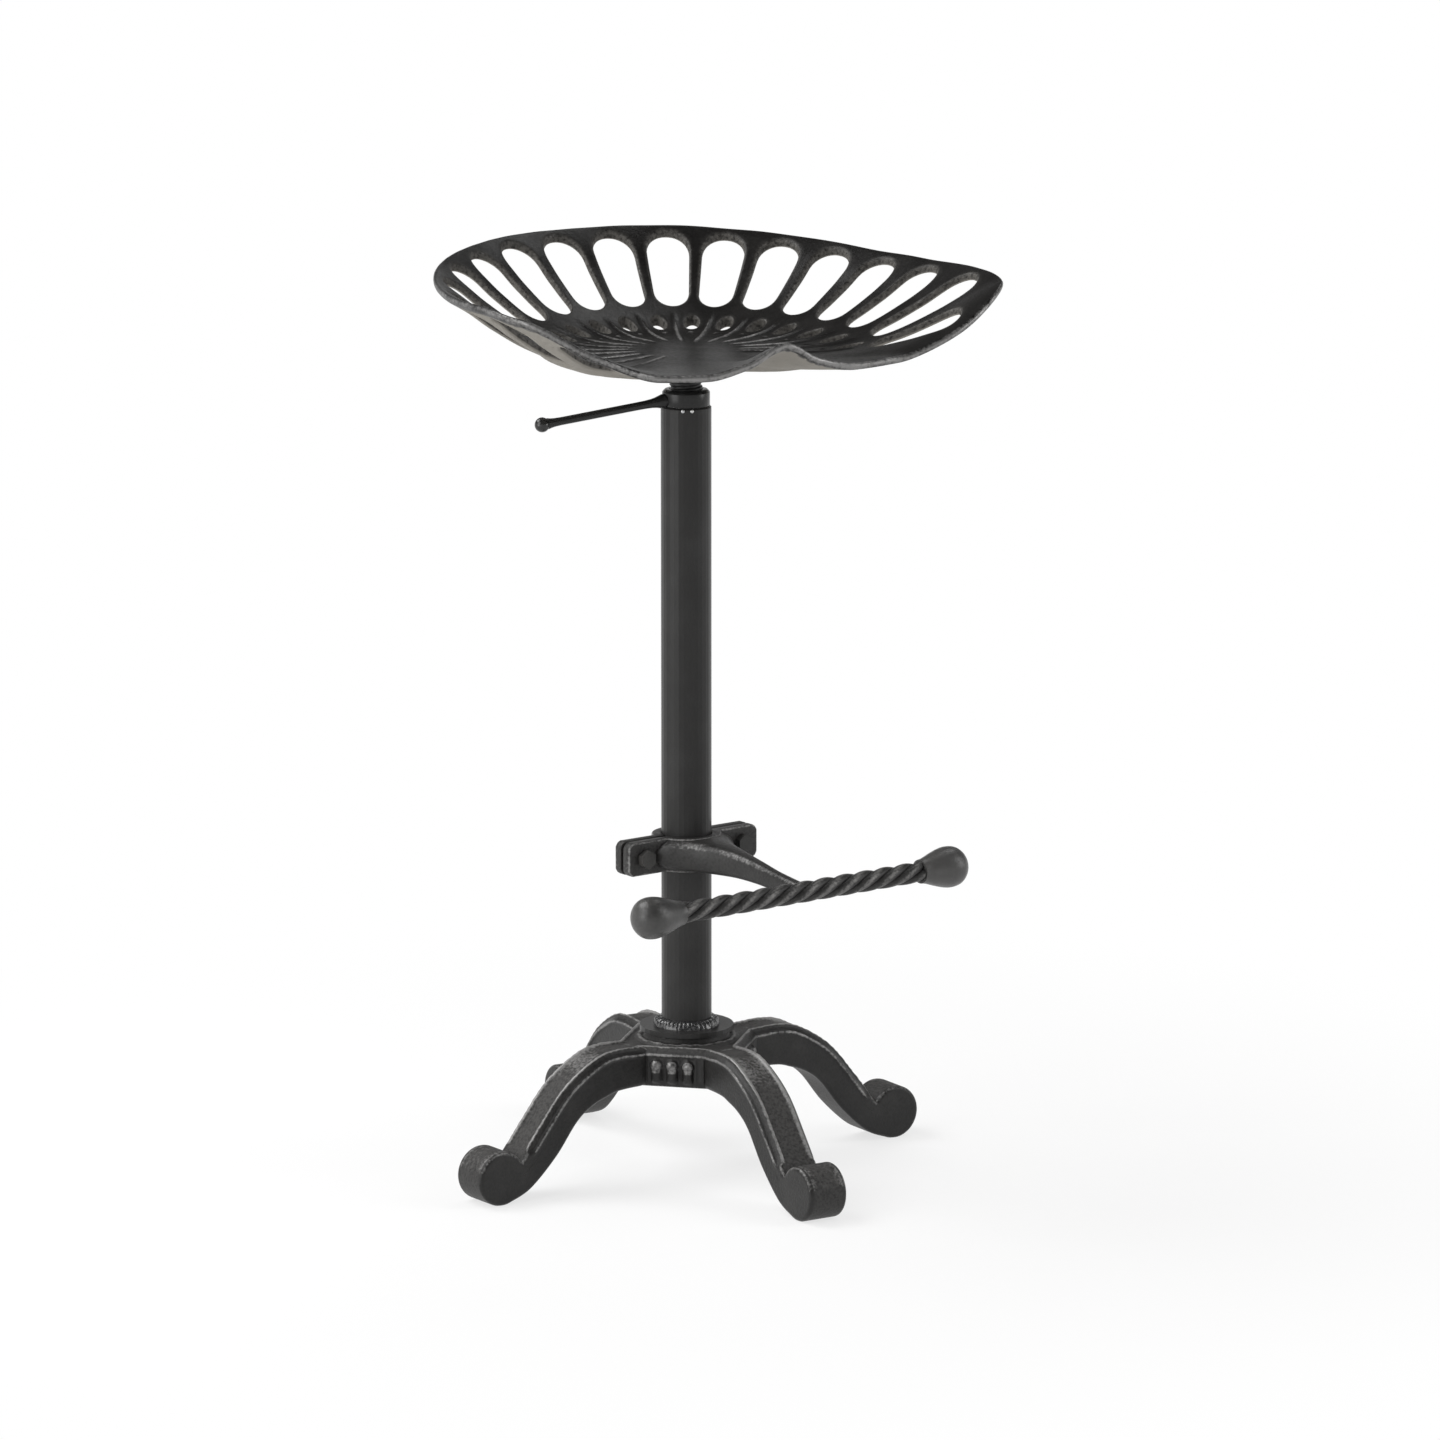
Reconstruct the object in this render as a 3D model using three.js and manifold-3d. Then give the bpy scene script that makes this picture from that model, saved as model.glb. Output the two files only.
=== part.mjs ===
// Tractor seat stool: a slotted cast seat on a screw spindle, a lock ring with a lever,
// a steel column on a four-footed cast base, and a twisted footrest bar clamped to the column.
// Millimetres, +Z up. The origin lies on the floor under the column, and the seat faces -Y.

import * as THREE from 'three';
import { mergeVertices } from 'three/addons/utils/BufferGeometryUtils.js';
import Module from 'manifold-3d';

const wasm = await Module();
wasm.setup();

// Clearances shared by all pieces.
const fitGap = 0.3;
const cutOverrun = 4;

// How far the feet and the footrest stand turned from the seat, in degrees.
const feetTurn = 4;
const footrestTurn = 9.6;

// Base casting.
// Bearings of the right, back, left and front legs from the feet's own axes, in degrees.
const legBearings = [0, 87.5, 184, 270];
const legCount = legBearings.length;
const legReach = 189.5;
const legWidth = 34;
const legEdgeBevel = 2.5;
const scrollRadius = 21.5;
const footFlatDepth = 0.5;
const hubTop = 108;
const hubUnderside = 76;
const hubFaceReach = 50;
const mouldingWidth = 7;
const mouldingHeight = 2.2;
const mouldingDrop = 1;
const neckRadius = 33;
const neckHeight = 4.5;
const reedCount = 3;
const reedRadius = 4.6;
const reedPitch = 12.5;
const reedBulbRadius = 5.4;
const reedFootInset = 3;
const reedTopInset = 11;
const counterboreRadius = 18;
const hubWebDepth = 20;

// Column and its foot.
const columnRadius = 20;
const columnWall = 2.5;
const columnTop = 615;
const columnEdgeBevel = 1;
const flangeRadius = 37.5;
const flangeThickness = 4;
const weldLeg = 6;
const plugHeight = 20;

// Bolt under the hub.
const baseBoltRadius = 6;
const baseBoltHeadRadius = 11;
const baseBoltHeadHeight = 7.5;
const baseWasherRadius = 14;
const washerThickness = 2.5;

// Screw lift.
const spindleRadius = 13;
const spindleReach = 260;
const spindleChamfer = 1.5;
const spindleNeckRadius = 8;
const nutHeight = 30;
const bushHeight = 18;
const guideWasherRadius = 13;
const guideScrewRadius = 3;
const guideScrewHeadRadius = 5;
const guideScrewHeadHeight = 4;
const guideScrewLength = 16;

// Lock ring and lever.
const lockRingRadius = 18.8;
const lockRingHeight = 13;
const lockRingBevel = 2.2;
const leverBearing = 177;
const leverDroop = 6.3;
const leverReach = 124;
const leverRadius = 3.2;
const leverRootRadius = 5.4;
const leverFlareLength = 11;
const leverShoulderGap = 1.2;
const leverNeckRadius = 4.2;
const leverNeckLength = 7;
const leverBallSeat = 1.9;
const leverSocketDepth = 4;
const leverBallRadius = 5.9;
const leverTenonRadius = 2.4;
const leverTenonLength = 5;

// Seat pan.
const panLift = 45;
const panRise = 74;
const panThickness = 5.8;
const panHalfWidth = 219;
const panEdgeInset = 2.5;
const seatPlateRadius = 45;
const seatPlateThickness = 5;
const seatScrewCircle = 32;
const seatScrewRadius = 3;
const seatScrewHeadRadius = 5.5;
const seatScrewHeadHeight = 3;
const seatScrewGrip = 3.6;
const slotsPerSide = 9;
const slotPitchAngle = 15.2;
const slotInnerReach = 121.5;
const slotRimMargin = 6.5;
const slotOuterWidth = 34.2;
const slotInnerWidth = 28;
const slotCornerRadius = 16.5;
const eyeletHalfWidth = 6.4;
const eyeletHalfDepth = 11.3;
const eyeletInset = 25.5;

// Footrest.
const clampHeight = 27;
const clampLevel = 259;
const clampWall = 7.5;
const earReach = 64;
const earThickness = 8;
const earGap = 3;
const earBevel = 3;
const clampBoltSpread = 48.3;
const clampBoltRadius = 4;
const clampBoltHeadRadius = 7.5;
const clampBoltHeadHeight = 5.5;
const clampNutHeight = 6.5;
const boltEndBeyondNut = 2;
const barForward = 148;
const barLevel = 250.5;
const barHalfLength = 118;
const barCrestRadius = 8.4;
const barGrooveDepth = 2.2;
const barLobes = 4;
const barTwistPitch = 80;
const barTenonRadius = 5.5;
const barTenonLength = 14;
const knobLength = 44;
const knobRadius = 16.4;

// Places that follow from the sizes above.
const neckTop = hubTop + neckHeight;
const flangeFoot = neckTop + fitGap;
const flangeTop = flangeFoot + flangeThickness;
const columnFoot = flangeTop + fitGap;
const columnBore = columnRadius - columnWall;
const hubWebFoot = hubTop - hubWebDepth;
const panFloor = columnTop + panLift;
const seatPlateTop = panFloor - panThickness - fitGap;
const seatPlateFoot = seatPlateTop - seatPlateThickness;
const spindleFoot = columnTop - spindleReach;
const clampBore = columnRadius + fitGap;
const clampOuter = clampBore + clampWall;

// Outline of a leg, from the hub outwards. Reach is a share of the leg's reach to the scroll's
// centre. Height is a share of the hub's top for the top line, and of its underside below.
const legTopShares = [[0, 0.985], [0.3, 0.992], [0.4, 0.998], [0.51, 0.961], [0.667, 0.789], [0.801, 0.519]];
const legUnderShares = [[0.856, 0.121], [0.727, 0.41], [0.625, 0.726], [0.555, 0.863], [0.474, 0.946],
  [0.362, 1], [0, 1]];
const scrollStart = -110;
const scrollEnd = 150;
const scrollStep = 20;
const legRecessShares = [0.2, 0.84];

// Rim of the pan. The bearing is in degrees from the back. Its reach is a share of the pan's half
// width, and its height a share of the rise from the floor to the back of the rim.
const rimShares = [[0, 0.864, 1], [20, 0.871, 0.993], [40, 0.875, 0.95], [60, 0.892, 0.885],
  [80, 0.925, 0.82], [95, 0.977, 0.811], [110, 1.061, 0.824], [122, 1.132, 0.768], [134, 1.031, 0.403],
  [146, 0.862, 0.12], [158, 0.791, 0.095], [169, 0.754, 0.186], [180, 0.752, 0.376]];
// Section of the pan: share of the reach to the rim, and share of the rim's height there.
const panSectionShares = [[0, 0], [0.34, 0], [0.44, 0.02], [0.52, 0.075], [0.66, 0.265], [0.8, 0.551],
  [0.9, 0.797], [1, 1]];
// Margin between a slot and the rim, as a share of the margin at the back, by the slot's bearing.
const slotMarginShares = [[0, 1], [60, 1.15], [100, 1.5], [116, 1.6], [131, 3.2], [180, 3.2]];
const panRingShares = [0.34, 0.46, 0.58, 0.72, 0.86];
const panStepsPerKnot = 3;

// Arm of the footrest, from the column outwards: share of the bar's distance from the column,
// half width and half height as shares of the clamp's half height, and rise as the same share.
const armShares = [[0.065, 2.8, 1, 0], [0.12, 2.5, 1, 0], [0.18, 2, 0.99, 0], [0.25, 1.5, 0.96, 0.01],
  [0.34, 1.08, 0.9, 0], [0.46, 0.72, 0.8, -0.04], [0.62, 0.5, 0.68, -0.18], [0.8, 0.4, 0.57, -0.42],
  [0.985, 0.37, 0.52, -0.62]];
const armSides = 12;

// Egg shape of a footrest knob: share of its length from the inner end, and share of its radius.
const knobShares = [[0, 0.58], [0.12, 0.64], [0.3, 0.8], [0.48, 0.94], [0.64, 1], [0.8, 0.93], [0.92, 0.68],
  [0.98, 0.36]];

const degrees = THREE.MathUtils.degToRad;

const castIron = new THREE.MeshStandardMaterial({ color: 0x2c2b2b, roughness: 0.55, metalness: 0.7 });
const blackSteel = new THREE.MeshStandardMaterial({ color: 0x242424, roughness: 0.4, metalness: 0.75 });
const weldSteel = new THREE.MeshStandardMaterial({ color: 0x2a2a2a, roughness: 0.25, metalness: 0.85 });
const zincSteel = new THREE.MeshStandardMaterial({ color: 0x8d8f92, roughness: 0.35, metalness: 0.9 });
const nylon = new THREE.MeshStandardMaterial({ color: 0xd9d6cb, roughness: 0.5, metalness: 0 });
const blackBall = new THREE.MeshStandardMaterial({ color: 0x151515, roughness: 0.2, metalness: 0.1 });

// Turns a closed geometry into a solid for cutting and joining.
function toSolid(geometry) {
  const bare = geometry.clone();
  bare.deleteAttribute('normal');
  bare.deleteAttribute('uv');
  const merged = mergeVertices(bare);
  const index = merged.index.array;
  const kept = [];
  for (let i = 0; i < index.length; i += 3) {
    const [a, b, c] = [index[i], index[i + 1], index[i + 2]];
    if (a !== b && b !== c && c !== a) kept.push(a, b, c);
  }
  return new wasm.Manifold(new wasm.Mesh({
    numProp: 3,
    vertProperties: new Float32Array(merged.attributes.position.array),
    triVerts: new Uint32Array(kept),
  }));
}

// Turns a solid back into a geometry.
function toGeometry(solid) {
  const mesh = solid.getMesh();
  const geometry = new THREE.BufferGeometry();
  geometry.setAttribute('position', new THREE.BufferAttribute(mesh.vertProperties, mesh.numProp));
  geometry.setIndex(new THREE.BufferAttribute(mesh.triVerts, 1));
  return geometry;
}

function join(geometries) {
  return geometries.map(toSolid).reduce((whole, piece) => whole.add(piece));
}

function cut(solid, cutters) {
  return cutters.map(toSolid).reduce((whole, cutter) => whole.subtract(cutter), solid);
}

function namedMesh(name, geometry, material) {
  const mesh = new THREE.Mesh(geometry, material);
  mesh.name = name;
  return mesh;
}

// Revolves a profile of [radius, height] pairs about the Z axis, its outer side running upwards.
function revolve(profile, segments = 32) {
  const points = profile.map(([radius, height]) => new THREE.Vector2(radius, height));
  return new THREE.LatheGeometry(points, segments).rotateX(Math.PI / 2);
}

// A round bar about the Z axis between two heights.
function rod(radius, foot, top, segments = 32) {
  return revolve([[0, foot], [radius, foot], [radius, top], [0, top]], segments);
}

// A ring about the Z axis between two heights.
function ring(inner, outer, foot, top, segments = 32) {
  return revolve([[inner, foot], [outer, foot], [outer, top], [inner, top], [inner, foot]], segments);
}

// A hexagonal bar about the Z axis between two heights, by its radius over corners.
function hexagon(radius, foot, top) {
  return rod(radius, foot, top, 6);
}

// Extrudes an outline in reach and height sideways, centred on the X axis.
function extrudeAcross(points, width, bevel) {
  const shape = new THREE.Shape(points);
  const geometry = new THREE.ExtrudeGeometry(shape, {
    depth: width - 2 * bevel,
    bevelEnabled: bevel > 0,
    bevelThickness: bevel,
    bevelSize: bevel,
    bevelOffset: -bevel,
    bevelSegments: 1,
  });
  return geometry.translate(0, 0, bevel - width / 2).rotateX(Math.PI / 2);
}

// Extrudes an outline in plan upwards between two heights.
function extrudeUp(points, foot, top) {
  const shape = new THREE.Shape(points);
  const geometry = new THREE.ExtrudeGeometry(shape, { depth: top - foot, bevelEnabled: false });
  return geometry.translate(0, 0, foot);
}

// Skins closed rings of points, each with the same count, and closes both ends.
function skin(rings) {
  const count = rings[0].length;
  const positions = rings.flat().flatMap((point) => point.toArray());
  const triangles = [];
  for (let r = 0; r + 1 < rings.length; r += 1) {
    for (let i = 0; i < count; i += 1) {
      const a = r * count + i;
      const b = r * count + ((i + 1) % count);
      triangles.push(a, b, b + count, a, b + count, a + count);
    }
  }
  [rings[0], rings[rings.length - 1]].forEach((edge, end) => {
    const centre = edge.reduce((sum, point) => sum.add(point), new THREE.Vector3()).divideScalar(count);
    const hub = positions.length / 3;
    positions.push(...centre.toArray());
    const start = end === 0 ? 0 : (rings.length - 1) * count;
    for (let i = 0; i < count; i += 1) {
      const pair = [start + i, start + ((i + 1) % count)];
      triangles.push(hub, ...(end === 0 ? pair.reverse() : pair));
    }
  });
  const geometry = new THREE.BufferGeometry();
  geometry.setAttribute('position', new THREE.Float32BufferAttribute(positions, 3));
  geometry.setIndex(triangles);
  return geometry;
}

// Copies of a geometry turned about the Z axis by equal steps, from a first bearing in degrees.
function around(geometry, count, first = 0) {
  return Array.from({ length: count }, (_, i) => (
    geometry.clone().rotateZ(degrees(first + (i * 360) / count))));
}

// One copy of a geometry for each leg. Two of the legs stand a few degrees off their quarter.
function atLegs(geometry) {
  return legBearings.map((bearing) => geometry.clone().rotateZ(degrees(bearing)));
}

// The leg's top line as a curve from the hub to the notch before the scroll.
function legTopCurve() {
  const scrollLevel = scrollRadius - footFlatDepth;
  const notch = new THREE.Vector2(
    legReach + scrollRadius * Math.cos(degrees(scrollEnd)),
    scrollLevel + scrollRadius * Math.sin(degrees(scrollEnd)),
  );
  const points = legTopShares.map(([reach, height]) => new THREE.Vector2(reach * legReach, height * hubTop));
  return new THREE.SplineCurve([...points, notch]);
}

function scrollArc() {
  const scrollLevel = scrollRadius - footFlatDepth;
  const steps = (scrollEnd - scrollStart) / scrollStep;
  return Array.from({ length: steps }, (_, i) => {
    const angle = degrees(scrollStart + i * scrollStep);
    return new THREE.Vector2(
      legReach + scrollRadius * Math.cos(angle),
      scrollLevel + scrollRadius * Math.sin(angle),
    );
  });
}

function legOutline() {
  const top = legTopCurve().getPoints(12).reverse();
  const under = legUnderShares.map(([reach, height]) => (
    new THREE.Vector2(reach * legReach, height * hubUnderside)));
  const underside = new THREE.SplineCurve([...under.reverse(), scrollArc()[0]]).getPoints(10);
  return [...scrollArc(), ...top, ...underside.slice(0, -1)];
}

// The sunk panel between the two edge mouldings on top of a leg.
function legRecess() {
  const curve = legTopCurve();
  const [from, to] = legRecessShares;
  const steps = 8;
  const line = Array.from({ length: steps + 1 }, (_, i) => {
    const share = from + ((to - from) * i) / steps;
    const point = curve.getPoint(share);
    const tangent = curve.getTangent(share);
    return { point, normal: new THREE.Vector2(-tangent.y, tangent.x) };
  });
  const floor = line.map(({ point, normal }) => point.clone().addScaledVector(normal, -mouldingHeight));
  const above = line.map(({ point, normal }) => point.clone().addScaledVector(normal, cutOverrun));
  return extrudeAcross([...floor, ...above.reverse()], legWidth - 2 * mouldingWidth, 0);
}

// Square hub plan, with its corners on the legs' centre lines.
function hubPlan(faceReach) {
  const corner = faceReach * Math.SQRT2;
  return [[corner, 0], [0, corner], [-corner, 0], [0, -corner]].map(([x, y]) => new THREE.Vector2(x, y));
}

// One upright reed with a bulb on top, standing half out of the hub's face.
function reed(offset) {
  const foot = hubUnderside + reedFootInset;
  const top = hubTop - reedTopInset;
  const bulb = new THREE.SphereGeometry(reedBulbRadius, 8, 5).rotateX(Math.PI / 2);
  return [
    rod(reedRadius, foot, top, 8).translate(hubFaceReach - reedRadius / 2, offset, 0),
    bulb.translate(hubFaceReach - reedRadius / 2, offset, top),
  ];
}

function hubReeds() {
  const offsets = Array.from({ length: reedCount }, (_, i) => (i - (reedCount - 1) / 2) * reedPitch);
  const face = offsets.flatMap(reed);
  return face.flatMap((piece) => around(piece, legCount, 45));
}

function baseCasting() {
  const rimTop = hubTop - mouldingDrop;
  const leg = extrudeAcross(legOutline(), legWidth, legEdgeBevel);
  const hub = extrudeUp(hubPlan(hubFaceReach), hubUnderside, rimTop);
  const neck = rod(neckRadius, hubWebFoot, neckTop);
  const body = join([hub, neck, ...atLegs(leg), ...hubReeds()]);
  const shelf = toSolid(extrudeUp(hubPlan(hubFaceReach - mouldingWidth), rimTop - mouldingHeight, neckTop));
  const shelfCut = shelf.subtract(toSolid(rod(neckRadius, hubWebFoot, neckTop + cutOverrun)));
  const span = 2 * (legReach + scrollRadius + cutOverrun);
  const floor = new THREE.BoxGeometry(span, span, cutOverrun).translate(0, 0, -cutOverrun / 2);
  const casting = cut(body.subtract(shelfCut), [
    ...atLegs(legRecess()),
    rod(counterboreRadius, hubUnderside - cutOverrun, hubWebFoot),
    rod(baseBoltRadius + fitGap, hubUnderside, neckTop + cutOverrun, 16),
    floor,
  ]);
  return namedMesh('base_casting', toGeometry(casting), castIron);
}

// Steel foot of the column: flange, weld bead and the threaded plug inside the tube.
function columnFootPieces() {
  const bore = baseBoltRadius + fitGap;
  const weldFoot = flangeTop + fitGap;
  const weldInner = columnRadius + fitGap;
  const bead = revolve([[weldInner, weldFoot], [weldInner + weldLeg, weldFoot],
    [weldInner + weldLeg * Math.SQRT1_2, weldFoot + weldLeg / 2], [weldInner, weldFoot + weldLeg],
    [weldInner, weldFoot]]);
  const plug = ring(bore, columnBore - fitGap, columnFoot, columnFoot + plugHeight);
  return [
    namedMesh('column_flange', ring(bore, flangeRadius, flangeFoot, flangeTop), blackSteel),
    namedMesh('column_weld', bead, weldSteel),
    namedMesh('column_plug', plug, blackSteel),
  ];
}

function columnTube() {
  const shoulder = columnTop - columnEdgeBevel;
  const tube = revolve([[columnBore, columnFoot], [columnRadius, columnFoot], [columnRadius, shoulder],
    [columnRadius - columnEdgeBevel, columnTop], [columnBore, columnTop], [columnBore, columnFoot]]);
  return namedMesh('column_tube', tube, blackSteel);
}

function baseBolt() {
  const washerFoot = hubWebFoot - fitGap - washerThickness;
  const headTop = washerFoot - fitGap;
  const bolt = join([
    hexagon(baseBoltHeadRadius, headTop - baseBoltHeadHeight, headTop),
    rod(baseBoltRadius, headTop - baseBoltHeadHeight / 2, columnFoot + plugHeight, 16),
  ]);
  const washerTop = washerFoot + washerThickness;
  const washer = ring(baseBoltRadius + fitGap, baseWasherRadius, washerFoot, washerTop, 16);
  return [
    namedMesh('base_bolt', toGeometry(bolt), zincSteel),
    namedMesh('base_washer', washer, zincSteel),
  ];
}

// Threaded insert fixed in the column's mouth, in which the spindle turns.
function columnNut() {
  const nut = ring(spindleRadius + fitGap, columnBore - fitGap, columnTop - nutHeight, columnTop);
  return namedMesh('column_nut', nut, zincSteel);
}

// Moves a geometry built along +Z from the column axis out along the lever.
function alongLever(geometry) {
  const level = columnTop + fitGap + lockRingHeight / 2;
  return geometry.rotateY(degrees(90 + leverDroop)).rotateZ(degrees(leverBearing)).translate(0, 0, level);
}

function lockRing() {
  const foot = columnTop + fitGap;
  const top = foot + lockRingHeight;
  const body = revolve([[spindleRadius + fitGap, foot], [lockRingRadius, foot],
    [lockRingRadius, top - lockRingBevel], [lockRingRadius - lockRingBevel, top],
    [spindleRadius + fitGap, top], [spindleRadius + fitGap, foot]]);
  const socketStart = lockRingRadius - leverSocketDepth;
  const socket = alongLever(rod(leverRadius + fitGap, socketStart, lockRingRadius + cutOverrun, 12));
  return namedMesh('lock_ring', toGeometry(cut(toSolid(body), [socket])), blackSteel);
}

function lever() {
  const root = lockRingRadius - leverSocketDepth + fitGap;
  const shoulder = columnRadius + leverShoulderGap;
  const end = leverReach - leverBallRadius + leverBallSeat;
  const rodShape = revolve([[0, root], [leverRadius, root], [leverRadius, shoulder],
    [leverRootRadius, shoulder], [leverRadius, shoulder + leverFlareLength],
    [leverRadius, end - leverNeckLength], [leverNeckRadius, end], [leverTenonRadius, end], [leverTenonRadius, end + leverTenonLength],
    [0, end + leverTenonLength]], 12);
  const ball = toSolid(new THREE.SphereGeometry(leverBallRadius, 12, 8).translate(0, 0, leverReach));
  const bore = rod(leverTenonRadius + fitGap, end - cutOverrun, end + leverTenonLength + fitGap, 12);
  const seatFlat = rod(leverBallRadius, end - cutOverrun, end + fitGap, 12);
  return [
    namedMesh('lever_rod', alongLever(rodShape), blackSteel),
    namedMesh('lever_ball', alongLever(toGeometry(cut(ball, [bore, seatFlat]))), blackBall),
  ];
}

// Lift spindle: a screw with a plain neck for the guide bush and a blind hole for its screw.
function spindle() {
  const neckEnd = spindleFoot + bushHeight + 2 * fitGap;
  const screwHole = guideScrewRadius + fitGap;
  const holeEnd = spindleFoot + guideScrewLength;
  const shape = revolve([[0, holeEnd], [screwHole, holeEnd], [screwHole, spindleFoot],
    [spindleNeckRadius, spindleFoot], [spindleNeckRadius, neckEnd], [spindleRadius - spindleChamfer, neckEnd],
    [spindleRadius, neckEnd + spindleChamfer], [spindleRadius, seatPlateTop], [0, seatPlateTop]], 24);
  return namedMesh('spindle', shape, blackSteel);
}

function guideBush() {
  const foot = spindleFoot + fitGap;
  const bush = ring(spindleNeckRadius + fitGap, columnBore - fitGap, foot, foot + bushHeight, 24);
  return namedMesh('guide_bush', bush, nylon);
}

// Washer and screw that hold the guide bush on the spindle's neck.
function guideRetainer() {
  const washerTop = spindleFoot - fitGap;
  const washerFoot = washerTop - washerThickness;
  const headTop = washerFoot - fitGap;
  const headFoot = headTop - guideScrewHeadHeight;
  const screwEnd = spindleFoot + guideScrewLength - cutOverrun;
  const screw = revolve([[0, headFoot], [guideScrewHeadRadius, headFoot], [guideScrewHeadRadius, headTop],
    [guideScrewRadius, headTop], [guideScrewRadius, screwEnd], [0, screwEnd]], 12);
  const washer = ring(guideScrewRadius + fitGap, guideWasherRadius, washerFoot, washerTop, 16);
  return [
    namedMesh('guide_washer', washer, zincSteel),
    namedMesh('guide_screw', screw, zincSteel),
  ];
}

// Smooth curve through [position, value] pairs: a monotone cubic, so it never overshoots. It
// starts level, and it ends level or with its last slope.
function monotone(pairs, endsLevel) {
  const xs = pairs.map(([x]) => x);
  const ys = pairs.map(([, y]) => y);
  const slopes = xs.slice(1).map((x, i) => (ys[i + 1] - ys[i]) / (x - xs[i]));
  const last = slopes.length - 1;
  const tangents = slopes.slice(1).map((after, i) => {
    const before = slopes[i];
    return before * after <= 0 ? 0 : (2 * before * after) / (before + after);
  });
  tangents.unshift(0);
  tangents.push(endsLevel ? 0 : slopes[last]);
  return (x) => {
    const i = Math.min(last, Math.max(0, xs.filter((knot) => knot <= x).length - 1));
    const span = xs[i + 1] - xs[i];
    const u = (x - xs[i]) / span;
    const rise = u * u * (3 - 2 * u);
    const lead = u * (1 - u) * (1 - u) * span * tangents[i];
    const tail = u * u * (u - 1) * span * tangents[i + 1];
    return ys[i] + (ys[i + 1] - ys[i]) * rise + lead + tail;
  };
}

const rimReachAt = monotone(
  rimShares.map(([bearing, reach]) => [degrees(bearing), reach * panHalfWidth]),
  true,
);
const rimHeightAt = monotone(
  rimShares.map(([bearing, , height]) => [degrees(bearing), height * panRise]),
  true,
);
const panSection = monotone(panSectionShares, false);

// Reach and height of the rim at a bearing in radians from the back. Both sides are alike.
function rimAt(bearing) {
  const turn = Math.abs(Math.atan2(Math.sin(bearing), Math.cos(bearing)));
  return { reach: rimReachAt(turn), height: rimHeightAt(turn) };
}

// Point on the pan's upper face at a reach from the axis and a bearing from the back.
function panPoint(reach, bearing) {
  const rim = rimAt(bearing);
  const height = panFloor + rim.height * panSection(Math.min(1, reach / rim.reach));
  return new THREE.Vector3(reach * Math.sin(bearing), reach * Math.cos(bearing), height);
}

// The same point moved by a distance along the face's normal, downwards when negative.
function panOffset(reach, bearing, distance) {
  const step = 0.02;
  const small = panHalfWidth * step * step;
  const point = panPoint(reach, bearing);
  const outward = panPoint(reach + small, bearing).sub(panPoint(reach - small, bearing));
  const sideways = panPoint(reach, bearing + step).sub(panPoint(reach, bearing - step));
  const normal = outward.cross(sideways).normalize();
  return point.addScaledVector(normal.z < 0 ? normal.negate() : normal, distance);
}

// Plain pan: upper face, rounded rim and underside over the same rings.
function panShell() {
  const side = rimShares.slice(1).flatMap(([knot], i) => (
    Array.from({ length: panStepsPerKnot }, (_, step) => {
      const start = rimShares[i][0];
      return degrees(start + ((knot - start) * step) / panStepsPerKnot);
    })));
  const bearings = [...side, ...[...side.slice(1), Math.PI].reverse().map((bearing) => -bearing)];
  const inner = panRingShares.map((share) => (bearing) => share * rimAt(bearing).reach);
  const edge = (bearing) => rimAt(bearing).reach - panEdgeInset;
  const ringAt = (reach, drop) => bearings.map((bearing) => panOffset(reach(bearing), bearing, drop));
  const upper = [...inner, edge].map((reach) => ringAt(reach, 0));
  const lower = [...inner, edge].map((reach) => ringAt(reach, -panThickness)).reverse();
  const rim = ringAt((bearing) => rimAt(bearing).reach, -panThickness / 2);
  return skin([...upper, rim, ...lower]);
}

// Outline of the band stretched round some circles in plan: their convex hull.
function bandRound(circles) {
  const sides = 16;
  const points = circles.flatMap(({ x, y, radius }) => Array.from({ length: sides }, (_, i) => {
    const angle = (2 * Math.PI * i) / sides;
    return new THREE.Vector2(x + radius * Math.cos(angle), y + radius * Math.sin(angle));
  })).sort((a, b) => a.x - b.x || a.y - b.y);
  const chain = (ordered) => ordered.reduce((hull, point) => {
    const turnsRight = (a, b) => b.clone().sub(a).cross(point.clone().sub(a)) <= 0;
    while (hull.length > 1 && turnsRight(hull[hull.length - 2], hull[hull.length - 1])) hull.pop();
    return [...hull, point];
  }, []).slice(0, -1);
  return [...chain(points), ...chain([...points].reverse())];
}

// How far from the axis the slots start at a bearing: further out where the rim lies further out.
function slotStart(bearing) {
  return slotInnerReach + (rimAt(bearing).reach - rimAt(0).reach) / 2;
}

const slotMarginAt = monotone(
  slotMarginShares.map(([bearing, share]) => [degrees(bearing), share * slotRimMargin]),
  true,
);

// Cutter for one slot, drawn straight up through the pan as a casting pattern is. Its inner end
// is round, and its outer end has two round corners that keep their margin to the rim.
function slotCutter(bearing) {
  const circle = (reach, angle, radius) => (
    { x: reach * Math.sin(angle), y: reach * Math.cos(angle), radius });
  const inner = circle(slotStart(bearing) + slotInnerWidth / 2, bearing, slotInnerWidth / 2);
  const spread = (slotOuterWidth / 2 - slotCornerRadius) / (rimAt(bearing).reach - slotCornerRadius);
  const corners = [-spread, spread].map((turn) => {
    const margin = slotMarginAt(Math.abs(bearing + turn));
    const reach = rimAt(bearing + turn).reach - margin - slotCornerRadius;
    return circle(reach, bearing + turn, slotCornerRadius);
  });
  return extrudeUp(bandRound([inner, ...corners]), seatPlateFoot, panFloor + panRise + cutOverrun);
}

function slotCutters() {
  return Array.from({ length: slotsPerSide }, (_, i) => degrees((i + 0.5) * slotPitchAngle))
    .flatMap((bearing) => [slotCutter(bearing), slotCutter(-bearing)]);
}

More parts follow.
